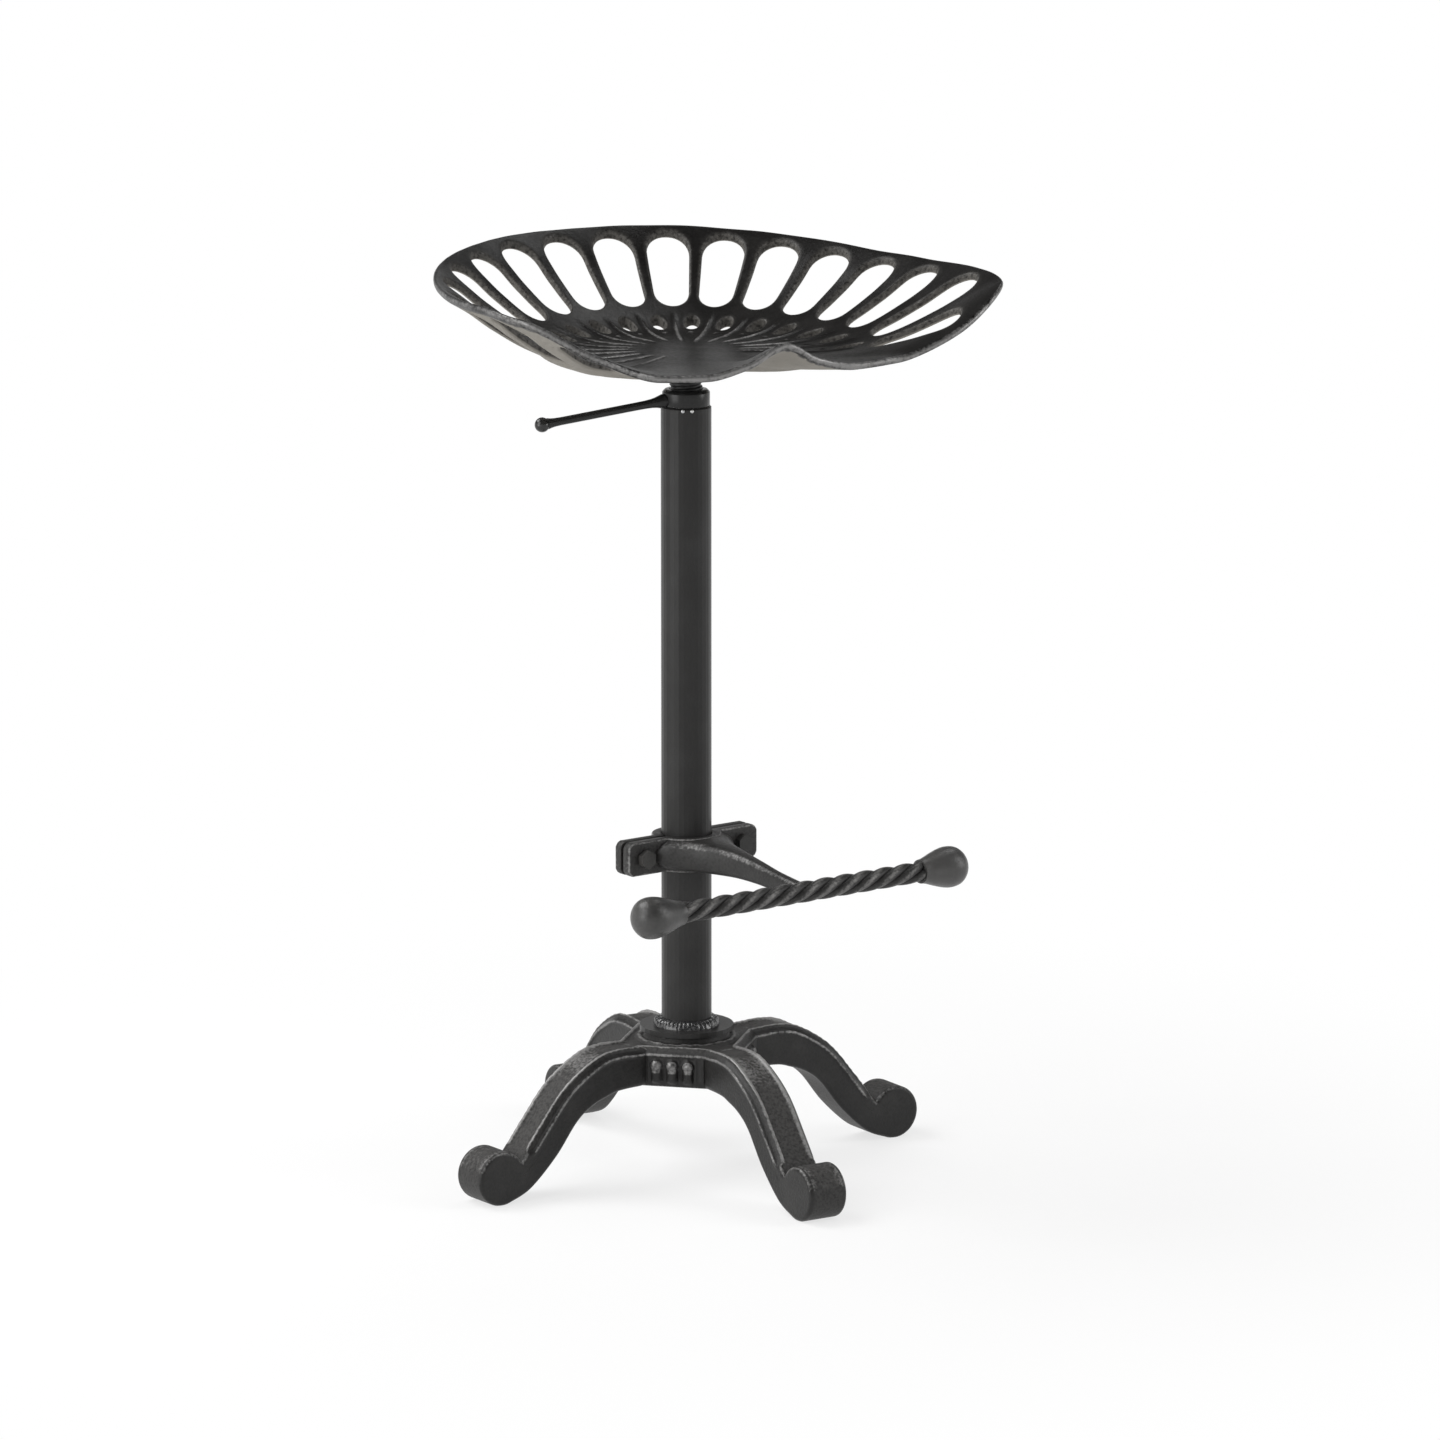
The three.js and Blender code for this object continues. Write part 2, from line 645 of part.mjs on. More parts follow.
// Small oval eyelets inside the slots, one on the line of each rib between two slots.
function eyeletCutters() {
  const oval = rod(1, seatPlateFoot, panFloor + panRise, 8).scale(eyeletHalfWidth, eyeletHalfDepth, 1);
  return Array.from({ length: 2 * slotsPerSide - 1 }, (_, i) => {
    const bearing = degrees((i + 1 - slotsPerSide) * slotPitchAngle);
    const reach = slotStart(bearing) - eyeletInset;
    return oval.clone().rotateZ(-bearing).translate(reach * Math.sin(bearing), reach * Math.cos(bearing), 0);
  });
}

function screwPlaces() {
  return Array.from({ length: 4 }, (_, i) => degrees(45 + 90 * i)).map((angle) => [
    seatScrewCircle * Math.cos(angle),
    seatScrewCircle * Math.sin(angle),
  ]);
}

function seatPan() {
  const holeTop = seatPlateTop + fitGap + seatScrewGrip + fitGap;
  const holes = screwPlaces().map(([x, y]) => (
    rod(seatScrewRadius + fitGap, seatPlateTop - cutOverrun, holeTop, 8).translate(x, y, 0)));
  const pan = cut(toSolid(panShell()), [...slotCutters(), ...eyeletCutters(), ...holes]);
  return namedMesh('seat_pan', toGeometry(pan), castIron);
}

// Steel plate welded to the spindle, with countersunk screws up into the pan.
function seatPlate() {
  const coneTop = seatPlateFoot + seatScrewHeadHeight + fitGap;
  const sunk = seatScrewHeadRadius + fitGap;
  const shank = seatScrewRadius + fitGap;
  const hole = revolve([[0, seatPlateFoot - cutOverrun], [sunk, seatPlateFoot - cutOverrun],
    [sunk, seatPlateFoot + fitGap], [shank, coneTop], [shank, seatPlateTop + cutOverrun],
    [0, seatPlateTop + cutOverrun]], 8);
  const holes = screwPlaces().map(([x, y]) => hole.clone().translate(x, y, 0));
  const disc = ring(spindleRadius + fitGap, seatPlateRadius, seatPlateFoot, seatPlateTop);
  return namedMesh('seat_plate', toGeometry(cut(toSolid(disc), holes)), blackSteel);
}

function seatScrews() {
  const top = seatPlateTop + fitGap + seatScrewGrip;
  const screw = revolve([[0, seatPlateFoot], [seatScrewHeadRadius, seatPlateFoot],
    [seatScrewRadius, seatPlateFoot + seatScrewHeadHeight], [seatScrewRadius, top], [0, top]], 8);
  return screwPlaces().map(([x, y], i) => (
    namedMesh(`seat_screw_${i + 1}`, screw.clone().translate(x, y, 0), zincSteel)));
}

// Half of the column clamp with its two ears. Side is -1 at the front and 1 at the back.
function clampHalf(side) {
  const foot = clampLevel - clampHeight / 2;
  const top = clampLevel + clampHeight / 2;
  const inner = earGap / 2;
  const outer = inner + earThickness;
  const bevel = earBevel;
  const plan = [[-earReach, inner], [earReach, inner], [earReach, outer - bevel], [earReach - bevel, outer],
    [bevel - earReach, outer], [-earReach, outer - bevel]];
  const corners = plan.map(([x, y]) => new THREE.Vector2(x, side * y));
  const ears = extrudeUp(side > 0 ? corners : corners.reverse(), foot, top);
  const shell = toSolid(rod(clampOuter, foot, top));
  const span = 2 * (clampOuter + cutOverrun);
  const depth = clampOuter + cutOverrun;
  const keep = new THREE.BoxGeometry(span, depth, clampHeight + cutOverrun)
    .translate(0, side * (inner + depth / 2), clampLevel);
  return shell.intersect(toSolid(keep)).add(toSolid(ears));
}

function clampCutters() {
  const foot = clampLevel - clampHeight;
  const top = clampLevel + clampHeight;
  const reach = earThickness + earGap + cutOverrun;
  const holes = [-1, 1].map((side) => rod(clampBoltRadius + fitGap, -reach, reach, 12)
    .rotateX(Math.PI / 2).translate(side * clampBoltSpread, 0, clampLevel));
  return [rod(clampBore, foot, top), ...holes];
}

// The arm that reaches forward from the clamp to the bar, an oval tapering section.
function footrestArm() {
  const unit = clampHeight / 2;
  const rings = armShares.map(([reach, halfWidth, halfHeight, rise]) => (
    Array.from({ length: armSides }, (_, i) => {
      const angle = (2 * Math.PI * (i + 0.5)) / armSides;
      const across = Math.sign(Math.cos(angle)) * Math.abs(Math.cos(angle)) ** 0.7;
      const up = Math.sign(Math.sin(angle)) * Math.abs(Math.sin(angle)) ** 0.7;
      return new THREE.Vector3(
        across * halfWidth * unit,
        -reach * barForward,
        clampLevel + (rise + up * halfHeight) * unit,
      );
    })));
  const seat = rod(barCrestRadius + fitGap, -barHalfLength, barHalfLength, 24)
    .rotateY(Math.PI / 2).translate(0, -barForward, barLevel);
  const heights = [clampLevel - clampHeight, clampLevel + clampHeight];
  const clear = rod(clampBore + columnWall, ...heights);
  const arm = toSolid(skin(rings)).subtract(toSolid(clear));
  const whole = cut(clampHalf(-1).add(arm), [...clampCutters(), seat]);
  return namedMesh('footrest_arm', toGeometry(whole), castIron);
}

function clampRear() {
  return namedMesh('clamp_rear', toGeometry(cut(clampHalf(1), clampCutters())), castIron);
}

function clampFasteners() {
  const face = earGap / 2 + earThickness + fitGap;
  const nutEnd = face + clampNutHeight;
  return [['left', -1], ['right', 1]].flatMap(([hand, side]) => {
    const place = (geometry) => geometry.rotateX(Math.PI / 2)
      .translate(side * clampBoltSpread, 0, clampLevel);
    const bolt = join([
      hexagon(clampBoltHeadRadius, face, face + clampBoltHeadHeight),
      rod(clampBoltRadius, -nutEnd - boltEndBeyondNut, face + clampBoltHeadHeight / 2, 12),
    ]);
    const nut = cut(toSolid(hexagon(clampBoltHeadRadius, -nutEnd, -face)), [
      rod(clampBoltRadius + fitGap, -nutEnd - cutOverrun, cutOverrun - face, 12)]);
    return [
      namedMesh(`clamp_bolt_${hand}`, place(toGeometry(bolt)), blackSteel),
      namedMesh(`clamp_nut_${hand}`, place(toGeometry(nut)), blackSteel),
    ];
  });
}

// Twisted bar: a lobed section turned steadily along its length, with a round tenon at each end.
function footrestBar() {
  const sides = 4 * barLobes;
  const steps = 34;
  const section = (x, radiusAt) => Array.from({ length: sides }, (_, i) => {
    const angle = (2 * Math.PI * i) / sides;
    const turned = angle - (2 * Math.PI * x) / barTwistPitch;
    const radius = radiusAt(angle);
    return new THREE.Vector3(x, radius * Math.cos(turned), radius * Math.sin(turned));
  });
  const round = () => barTenonRadius;
  const lobed = (angle) => {
    const crest = Math.abs(Math.cos((barLobes / 2) * angle));
    return barCrestRadius - barGrooveDepth * (1 - crest ** 0.7);
  };
  const twisted = Array.from({ length: steps + 1 }, (_, i) => (
    section(barHalfLength * ((2 * i) / steps - 1), lobed)));
  const end = barHalfLength + barTenonLength;
  const rings = [section(-end, round), section(-barHalfLength, round), ...twisted,
    section(barHalfLength, round), section(end, round)];
  return namedMesh('footrest_bar', skin(rings).translate(0, -barForward, barLevel), castIron);
}

// Egg-shaped end knobs, bored for the bar's tenons.
function footrestKnobs() {
  const bore = barTenonRadius + fitGap;
  const depth = barTenonLength;
  const face = fitGap;
  const outline = knobShares.map(([along, radius]) => [radius * knobRadius, face + along * knobLength]);
  const profile = [[0, depth + face], [bore, depth + face], [bore, face], ...outline, [0, face + knobLength]];
  return [['left', -1], ['right', 1]].map(([hand, side]) => {
    const knob = revolve(profile, 15).translate(0, 0, barHalfLength).rotateY((side * Math.PI) / 2);
    return namedMesh(`footrest_knob_${hand}`, knob.translate(0, -barForward, barLevel), castIron);
  });
}

const base = new THREE.Group();
base.add(baseCasting());
base.rotation.z = degrees(feetTurn);

const footrest = new THREE.Group();
footrest.add(footrestArm(), clampRear(), footrestBar(), ...footrestKnobs(), ...clampFasteners());
footrest.rotation.z = degrees(footrestTurn);

const group = new THREE.Group();
group.add(base, ...columnFootPieces(), columnTube(), ...baseBolt(), columnNut());
group.add(lockRing(), ...lever());
group.add(spindle(), guideBush(), ...guideRetainer());
group.add(seatPlate(), seatPan(), ...seatScrews());
group.add(footrest);

export default group;
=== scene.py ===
"""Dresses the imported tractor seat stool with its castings, steel and finishes.

Lengths in the classes are millimetres, and a mesh turns them into metres as it is made.
The origin is on the floor under the column, +Z runs up it and the seat faces -Y.
"""

import logging
import math
from dataclasses import dataclass
from enum import Enum
from typing import Callable, Sequence, Union

import bmesh
import bpy
import numpy as np
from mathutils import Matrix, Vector


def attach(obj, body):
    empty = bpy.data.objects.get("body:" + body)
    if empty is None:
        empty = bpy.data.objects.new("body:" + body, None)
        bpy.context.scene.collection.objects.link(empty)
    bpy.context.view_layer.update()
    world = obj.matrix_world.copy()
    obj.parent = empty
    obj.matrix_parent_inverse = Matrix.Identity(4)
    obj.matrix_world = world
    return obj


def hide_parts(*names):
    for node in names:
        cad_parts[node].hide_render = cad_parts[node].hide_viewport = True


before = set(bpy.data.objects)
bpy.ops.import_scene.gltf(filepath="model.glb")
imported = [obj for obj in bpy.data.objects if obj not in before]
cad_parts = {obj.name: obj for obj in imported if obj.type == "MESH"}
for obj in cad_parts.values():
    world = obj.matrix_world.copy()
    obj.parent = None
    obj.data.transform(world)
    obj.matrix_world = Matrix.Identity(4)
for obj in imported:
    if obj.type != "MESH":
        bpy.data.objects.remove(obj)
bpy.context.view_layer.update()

log = logging.getLogger("stool")
MM = 0.001
WELD = 0.004
Array = np.ndarray
Rgb = tuple[float, float, float]


class Slot(Enum):
    """Material slots of the record, named beside the lock's pieces; no piece takes its finish from
    them.
    """

    CAST_IRON = "cast_iron"
    BLACK_STEEL = "black_steel"
    WELD = "weld"
    ZINC_STEEL = "zinc_steel"
    BLACK_PLASTIC = "black_plastic"


class Body(Enum):
    """Bodies that new pieces ride on."""

    BASE = "base"
    LOCK = "lock"
    SEAT = "seat"
    FOOTREST = "footrest"


# Curves and meshes


def monotone(knots: Array, values: Array, x: Array, last_flat: bool) -> Array:
    """Cubic through the knots that never overshoots them.

    The tangent at a knot is the harmonic mean of the slopes on its two sides, or zero
    where they differ in sign. The first tangent is zero.

    Args:
        knots: Places of the knots, rising.
        values: Values at the knots.
        x: Places to work out.
        last_flat: Whether the last tangent is zero too, or the last slope.

    Returns:
        The curve's value at each x.
    """
    step = np.diff(knots)
    slope = np.diff(values) / step
    tangent = np.zeros(len(knots))
    same = slope[:-1] * slope[1:] > 0
    total = np.where(same, slope[:-1] + slope[1:], 1.0)
    tangent[1:-1] = np.where(same, 2 * slope[:-1] * slope[1:] / total, 0.0)
    tangent[-1] = 0.0 if last_flat else slope[-1]
    k = np.clip(np.searchsorted(knots, x, side="right") - 1, 0, len(step) - 1)
    t = (x - knots[k]) / step[k]
    rise = t * t * (3 - 2 * t)
    start = t * (1 - t) ** 2 * step[k] * tangent[k]
    end = t * t * (t - 1) * step[k] * tangent[k + 1]
    return values[k] * (1 - rise) + values[k + 1] * rise + start + end


def through(points: Array, per_span: int) -> Array:
    """Smooth curve through points: each tangent is half the chord between its neighbours.

    Args:
        points: Points in rows, in the curve's order.
        per_span: Steps between two points.

    Returns:
        The points of the curve in rows.
    """
    padded = np.vstack([points[:1], points, points[-1:]])
    t = np.linspace(0, 1, per_span, endpoint=False)[None, :, None]
    a, b, c, d = (padded[i : len(padded) - 3 + i, None, :] for i in range(4))
    rows = 0.5 * (2 * b + (c - a) * t + (2 * a - 5 * b + 4 * c - d) * t**2
                  + (3 * b - a - 3 * c + d) * t**3)
    return np.vstack([rows.reshape(-1, points.shape[1]), points[-1:]])


def respace(points: Array, count: int) -> Array:
    """Open polyline cut into equal steps along its length, ends included.

    Args:
        points: The polyline's points in rows.
        count: Number of steps.

    Returns:
        The new points in rows, one more than the steps.
    """
    along = np.concatenate([[0], np.cumsum(np.linalg.norm(np.diff(points, axis=0), axis=1))])
    at = np.linspace(0, along[-1], count + 1)
    return np.stack([np.interp(at, along, column) for column in points.T], axis=1)


def ramp(x: Array, low: float, high: float) -> Array:
    """Smooth step from 0 at low to 1 at high: 3t^2 - 2t^3 with t the share of the way."""
    t = np.clip((x - low) / (high - low), 0, 1)
    return t * t * (3 - 2 * t)


def turned(points: Array, degrees: float) -> Array:
    """Turns points round +Z.

    Args:
        points: Array whose last axis is x, y, z.
        degrees: Angle, from +X towards +Y.

    Returns:
        The turned points in the same layout.
    """
    cosine, sine = math.cos(math.radians(degrees)), math.sin(math.radians(degrees))
    x, y = points[..., 0], points[..., 1]
    return np.stack([cosine * x - sine * y, sine * x + cosine * y, points[..., 2]], axis=-1)


def round_grid(reach: Array, bearing: Array, level: Array) -> Array:
    """Points at a reach from +Z, a bearing in radians from +X and a level."""
    return np.stack([reach * np.cos(bearing), reach * np.sin(bearing), level], axis=-1)


def lifted(plan: Array, level: Array) -> Array:
    """Plan points with a level as their third coordinate."""
    return np.concatenate([plan, level[..., None]], axis=-1)


def lathe(profile: Sequence, sides: int) -> Array:
    """Turns a profile round +Z.

    Args:
        profile: Pairs of radius and height.
        sides: Points round the axis.

    Returns:
        A grid with the profile down its rows and the turn along its columns.
    """
    line = np.array(profile, float)
    angle = np.linspace(0, 2 * np.pi, sides, endpoint=False)
    return round_grid(line[:, :1], angle, line[:, 1:] + 0 * angle)


def loop_normals(loop: Array) -> Array:
    """Unit normals of a closed plan loop, square to the chord between two neighbours.

    Args:
        loop: Points in rows, the first not repeated.

    Returns:
        A normal for each point, to the right of the loop's direction.
    """
    way = np.roll(loop, -1, axis=0) - np.roll(loop, 1, axis=0)
    way /= np.linalg.norm(way, axis=1, keepdims=True)
    return np.stack([way[:, 1], -way[:, 0]], axis=1)


@dataclass
class Patch:
    """Points and quads of a part of a mesh, with the wear and the rawness at its points."""

    points: Array
    quads: Array
    wear: Array
    raw: Array


def patch(points: Array, wear: Union[Array, float] = 0.0, raw: Union[Array, float] = 0.0,
          close_rows: bool = False, close_columns: bool = False) -> Patch:
    """Quads between the points of a grid.

    Args:
        points: Grid of rows by columns by three.
        wear: How worn each point is, from 0 to 1.
        raw: How rough the casting is there, from 0 to 1; above 1 it also takes a painted reflection
            of light bounced up from the floor.
        close_rows: Whether the last row joins the first.
        close_columns: Whether the last column joins the first.

    Returns:
        The grid as a patch.
    """
    rows, columns = points.shape[:2]
    index = np.arange(rows * columns).reshape(rows, columns)
    if close_rows:
        index = np.vstack([index, index[:1]])
    if close_columns:
        index = np.hstack([index, index[:, :1]])
    quads = np.stack([index[:-1, :-1], index[:-1, 1:], index[1:, 1:], index[1:, :-1]], axis=-1)
    levels = [np.broadcast_to(np.asarray(level, float), (rows, columns)).reshape(-1)
              for level in (wear, raw)]
    return Patch(points.reshape(-1, 3), quads.reshape(-1, 4), *levels)


def add_object(name: str, data: bpy.types.ID) -> bpy.types.Object:
    """Puts a mesh, a lamp or a camera into the scene, at the origin.

    Args:
        name: Name of the object.
        data: What it shows.

    Returns:
        The object.
    """
    thing = bpy.data.objects.new(name, data)
    bpy.context.scene.collection.objects.link(thing)
    return thing


def weld_points(mesh: bpy.types.Mesh, distance: float) -> int:
    """Merges points that lie together and turns all faces outwards.

    Args:
        mesh: The mesh to mend.
        distance: Distance in metres within which points are one.

    Returns:
        How many edges don't join exactly two faces.
    """
    shape = bmesh.new()
    shape.from_mesh(mesh)
    bmesh.ops.remove_doubles(shape, verts=shape.verts, dist=distance)
    bmesh.ops.recalc_face_normals(shape, faces=shape.faces)
    shape.to_mesh(mesh)
    open_edges = sum(1 for edge in shape.edges if len(edge.link_faces) != 2)
    shape.free()
    return open_edges


def make_piece(name: str, patches: Sequence[Patch], material: bpy.types.Material, body: Body,
               stands_for: Sequence[str] = (), crease: float = 48.0) -> None:
    """Welds patches into one closed mesh at the origin that rides on a body.

    Args:
        name: Name of the piece.
        patches: Its surfaces, in millimetres.
        material: Its finish.
        body: The body that carries it.
        stands_for: CAD nodes that it replaces.
        crease: Angle in degrees past which an edge is sharp.
    """
    starts = np.cumsum([0] + [len(p.points) for p in patches])
    points = np.concatenate([p.points for p in patches]) * MM
    quads = np.concatenate([p.quads + s for p, s in zip(patches, starts)])
    mesh = bpy.data.meshes.new(name)
    mesh.from_pydata(points, [], quads.tolist())
    for key in ("wear", "raw"):
        level = mesh.attributes.new(key, "FLOAT", "POINT")
        level.data.foreach_set("value", np.concatenate([getattr(p, key) for p in patches]))
    open_edges = weld_points(mesh, WELD * MM)
    mesh.shade_smooth()
    mesh.set_sharp_from_angle(angle=math.radians(crease))
    mesh.materials.append(material)
    piece = add_object(name, mesh)
    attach(piece, body.value)
    if stands_for:
        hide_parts(*stands_for)
    log.info("%s: %d faces, %d open edges", name, len(mesh.polygons), open_edges)


# Shader maths


class Signal:
    """Output of a node, on which arithmetic adds Math nodes."""

    def __init__(self, nodes: "Nodes", socket: bpy.types.NodeSocket) -> None:
        """Keeps the tree and the socket."""
        self.nodes = nodes
        self.socket = socket

    def _math(self, operation: str, *values: Union["Signal", float]) -> "Signal":
        """Adds one Math node on the given values."""
        inputs = dict(enumerate(values))
        return self.nodes.add("ShaderNodeMath", {"operation": operation}, inputs)

    def __add__(self, other: Union["Signal", float]) -> "Signal":
        """Sum."""
        return self._math("ADD", self, other)

    def __radd__(self, other: float) -> "Signal":
        """Sum with a number on the left."""
        return self._math("ADD", other, self)

    def __sub__(self, other: Union["Signal", float]) -> "Signal":
        """Difference."""
        return self._math("SUBTRACT", self, other)

    def __rsub__(self, other: float) -> "Signal":
        """Difference from a number on the left."""
        return self._math("SUBTRACT", other, self)

    def __mul__(self, other: Union["Signal", float]) -> "Signal":
        """Product."""
        return self._math("MULTIPLY", self, other)

    def __rmul__(self, other: float) -> "Signal":
        """Product with a number on the left."""
        return self._math("MULTIPLY", other, self)

    def between(self, low: float, high: float) -> "Signal":
        """Smooth step from 0 at low to 1 at high."""
        inputs = {"Value": self, "From Min": low, "From Max": high}
        return self.nodes.add("ShaderNodeMapRange", {"interpolation_type": "SMOOTHSTEP"}, inputs)


Value = Union[Signal, float, Sequence[float]]


class Nodes:
    """Node tree that is filled one node at a time."""

    def __init__(self, tree: bpy.types.NodeTree) -> None:
        """Empties the tree and keeps it."""
        tree.nodes.clear()
        self.tree = tree

    def add(self, kind: str, settings: Union[dict, None] = None,
            inputs: Union[dict, None] = None, output: Union[str, int] = 0) -> Signal:
        """Makes a node, sets it and fills its sockets.

        Args:
            kind: Blender's type of the node.
            settings: Its properties, set first.
            inputs: A number, colour or signal for each socket, by name or place.
            output: The socket to give back.

        Returns:
            The node's output as a signal.
        """
        node = self.tree.nodes.new(kind)
        for key, setting in (settings or {}).items():
            setattr(node, key, setting)
        for key, value in (inputs or {}).items():
            if isinstance(value, Signal):
                self.tree.links.new(value.socket, node.inputs[key])
            else:
                node.inputs[key].default_value = value
        return Signal(self, node.outputs[output])

    def end(self, kind: str, shader: Signal) -> None:
        """Adds the tree's output node and links a shader to its surface."""
        node = self.tree.nodes.new(kind)
        self.tree.links.new(shader.socket, node.inputs["Surface"])


class Shading(Nodes):
    """Node tree of one material."""

    def __init__(self, name: str) -> None:
        """Makes a material of that name that holds only its object coordinates."""
        self.material = bpy.data.materials.new(name)
        self.material.use_nodes = True
        super().__init__(self.material.node_tree)
        self.place = self.add("ShaderNodeTexCoord", output="Object")

    def noise(self, scale: float, detail: float = 2.0, roughness: float = 0.5,
              place: Union[Signal, None] = None) -> Signal:
        """Fractal noise around 0.5.

        Args:
            scale: Cells for each metre.
            detail: Octaves.
            roughness: Share of each octave in the next.
            place: Coordinates, where they aren't the object's own.

        Returns:
            The noise.
        """
        inputs = {"Vector": place or self.place, "Scale": scale, "Detail": detail,
                  "Roughness": roughness}
        return self.add("ShaderNodeTexNoise", None, inputs)

    def stretched(self, x: float, y: float, z: float) -> Signal:
        """Object coordinates multiplied along each axis."""
        return self.add("ShaderNodeMapping", None, {"Vector": self.place, "Scale": (x, y, z)})

    def attribute(self, name: str) -> Signal:
        """Number that the mesh keeps at its points."""
        return self.add("ShaderNodeAttribute", {"attribute_name": name}, output="Fac")

    def mix(self, share: Value, first: Value, second: Value) -> Signal:
        """Colour between two colours."""
        start, end = ((*v, 1.0) if isinstance(v, tuple) else v for v in (first, second))
        return self.add("ShaderNodeMix", {"data_type": "RGBA"}, {0: share, 6: start, 7: end}, 2)

    def bump(self, height: Value, depth: float) -> Signal:
        """Normal of a relief whose height of 1 is depth, in metres."""
        return self.add("ShaderNodeBump", None, {"Height": height, "Distance": depth})

    def finish(self, inputs: dict) -> bpy.types.Material:
        """Ends the tree in a Principled shader with these sockets.

        Args:
            inputs: Numbers, colours and signals of the shader's sockets.

        Returns:
            The material.
        """
        surface = self.add("ShaderNodeBsdfPrincipled", None, inputs)
        self.end("ShaderNodeOutputMaterial", surface)
        return self.material


@dataclass(frozen=True)
class CastFinish:
    """Black paint on a casting, ground smooth or left raw, worn to grey metal at its edges."""

    name: str
    paint: Rgb = (0.0085, 0.0082, 0.008)
    thin_paint: Rgb = (0.02, 0.0195, 0.019)
    raw_paint: Rgb = (0.06, 0.058, 0.056)
    # Painted reflection: beige that stands in for light bounced up from the white floor, laid on
    # past a rawness of 1.
    painted_floor_bounce: Rgb = (0.3, 0.282, 0.25)
    bare: Rgb = (0.2, 0.196, 0.19)
    roughness: float = 0.36
    raw_roughness: float = 0.62
    bare_share: float = 0.8
    bare_metallic: float = 0.55
    wear_range: tuple[float, float] = (0.48, 0.98)
    thin_range: tuple[float, float] = (0.35, 0.75)
    raw_range: tuple[float, float] = (0.2, 0.65)
    grain: float = 430.0
    mottling: float = 38.0
    grain_depth: float = 0.00022
    raw_depth: float = 0.0006
    specular: float = 0.4

    def material(self) -> bpy.types.Material:
        """Lumpy grain in the height, mottled paint, and bare metal where the wear is high.

        The casting's own lumps are deep where the mesh says that it is raw, and past a
        rawness of 1 the paint turns to a painted reflection of light bounced up from the floor.
        """
        s = Shading(self.name)
        lumps = s.noise(self.grain, 3.0, 0.55)
        pores = s.noise(self.grain * 3.3, 2.0, 0.6)
        mottle = s.noise(self.mottling, 3.0, 0.6)
        wear, raw = s.attribute("wear"), s.attribute("raw")
        worn = (wear + (lumps - 0.5) * 0.7 + (mottle - 0.5) * 0.5).between(*self.wear_range)
        paint = s.mix(mottle.between(*self.thin_range), self.paint, self.thin_paint)
        paint = s.mix(raw * lumps.between(*self.raw_range), paint, self.raw_paint)
        # Painted floor bounce: past a rawness of 1 the paint turns beige, in place of light
        # reflected up from the floor.
        paint = s.mix((raw - 1.0) * (0.6 + mottle * 0.6), paint, self.painted_floor_bounce)
        colour = s.mix(worn * self.bare_share, paint, self.bare)
        rough = (self.roughness + raw * (self.raw_roughness - self.roughness)
                 + (lumps - 0.5) * 0.25 - worn * 0.05)
        relief = lumps * 0.7 + pores * 0.3
        share = self.grain_depth / self.raw_depth
        height = relief * (share + raw * (1 - share))
        return s.finish({
            "Base Color": colour,
            "Roughness": rough,
            "Metallic": worn * self.bare_metallic,
            "Specular IOR Level": self.specular,
            "Normal": s.bump(height, self.raw_depth),
        })


@dataclass(frozen=True)
class SteelFinish:
    """Satin black paint on drawn or turned steel."""

    name: str
    paint: Rgb = (0.012, 0.012, 0.012)
    dust: Rgb = (0.02, 0.02, 0.0195)
    roughness: float = 0.33
    streaks: tuple[float, float, float] = (1.0, 1.0, 0.12)
    streak_scale: float = 620.0
    cloud_scale: float = 24.0
    speck_scale: float = 1500.0
    depth: float = 0.00005
    specular: float = 0.25

    def material(self) -> bpy.types.Material:
        """Faint streaks along one axis in the roughness and the height."""
        s = Shading(self.name)
        along = s.stretched(*self.streaks)
        streak = s.noise(self.streak_scale, 2.0, 0.6, along)
        cloud = s.noise(self.cloud_scale, 2.0, 0.55)
        speck = s.noise(self.speck_scale, 1.0)
        colour = s.mix((cloud * 0.7 + speck * 0.3).between(0.4, 0.72), self.paint, self.dust)
        rough = self.roughness + (streak - 0.5) * 0.14 + (cloud - 0.5) * 0.1
        return s.finish({
            "Base Color": colour,
            "Roughness": rough,
            "Specular IOR Level": self.specular,
            "Normal": s.bump(streak * 0.6 + speck * 0.4, self.depth),
        })


@dataclass(frozen=True)
class WeldFinish:
    """Thick gloss paint that has run over a weld bead."""

    name: str
    paint: Rgb = (0.024, 0.024, 0.025)
    spatter: Rgb = (0.07, 0.068, 0.065)
    depth: float = 0.0006

    def material(self) -> bpy.types.Material:
        """Soft lumps under a smooth skin, with small spatter."""
        s = Shading(self.name)
        lumps = s.noise(260.0, 2.0, 0.5)
        spatter = s.noise(900.0, 1.0).between(0.62, 0.72)
        colour = s.mix(spatter, self.paint, self.spatter)
        return s.finish({
            "Base Color": colour,
            "Roughness": 0.12 + (lumps - 0.5) * 0.1,
            "Specular IOR Level": 0.7,
            "Normal": s.bump(lumps + spatter * 0.3, self.depth),
        })


@dataclass(frozen=True)
class ZincFinish:
    """Bright zinc plate with fine machining lines."""

    name: str
    dull: Rgb = (0.46, 0.47, 0.48)
    bright: Rgb = (0.56, 0.56, 0.55)
    depth: float = 0.00006

    def material(self) -> bpy.types.Material:
        """Blue-grey plate, clouded and slightly dull."""
        s = Shading(self.name)
        cloud = s.noise(120.0, 3.0)
        lines = s.noise(900.0, 1.0, 0.5, s.stretched(0.3, 0.3, 2.0))
        return s.finish({
            "Base Color": s.mix(cloud.between(0.3, 0.7), self.dull, self.bright),
            "Roughness": 0.34 + (cloud - 0.5) * 0.2,
            "Metallic": 1.0,
            "Normal": s.bump(lines, self.depth),
        })


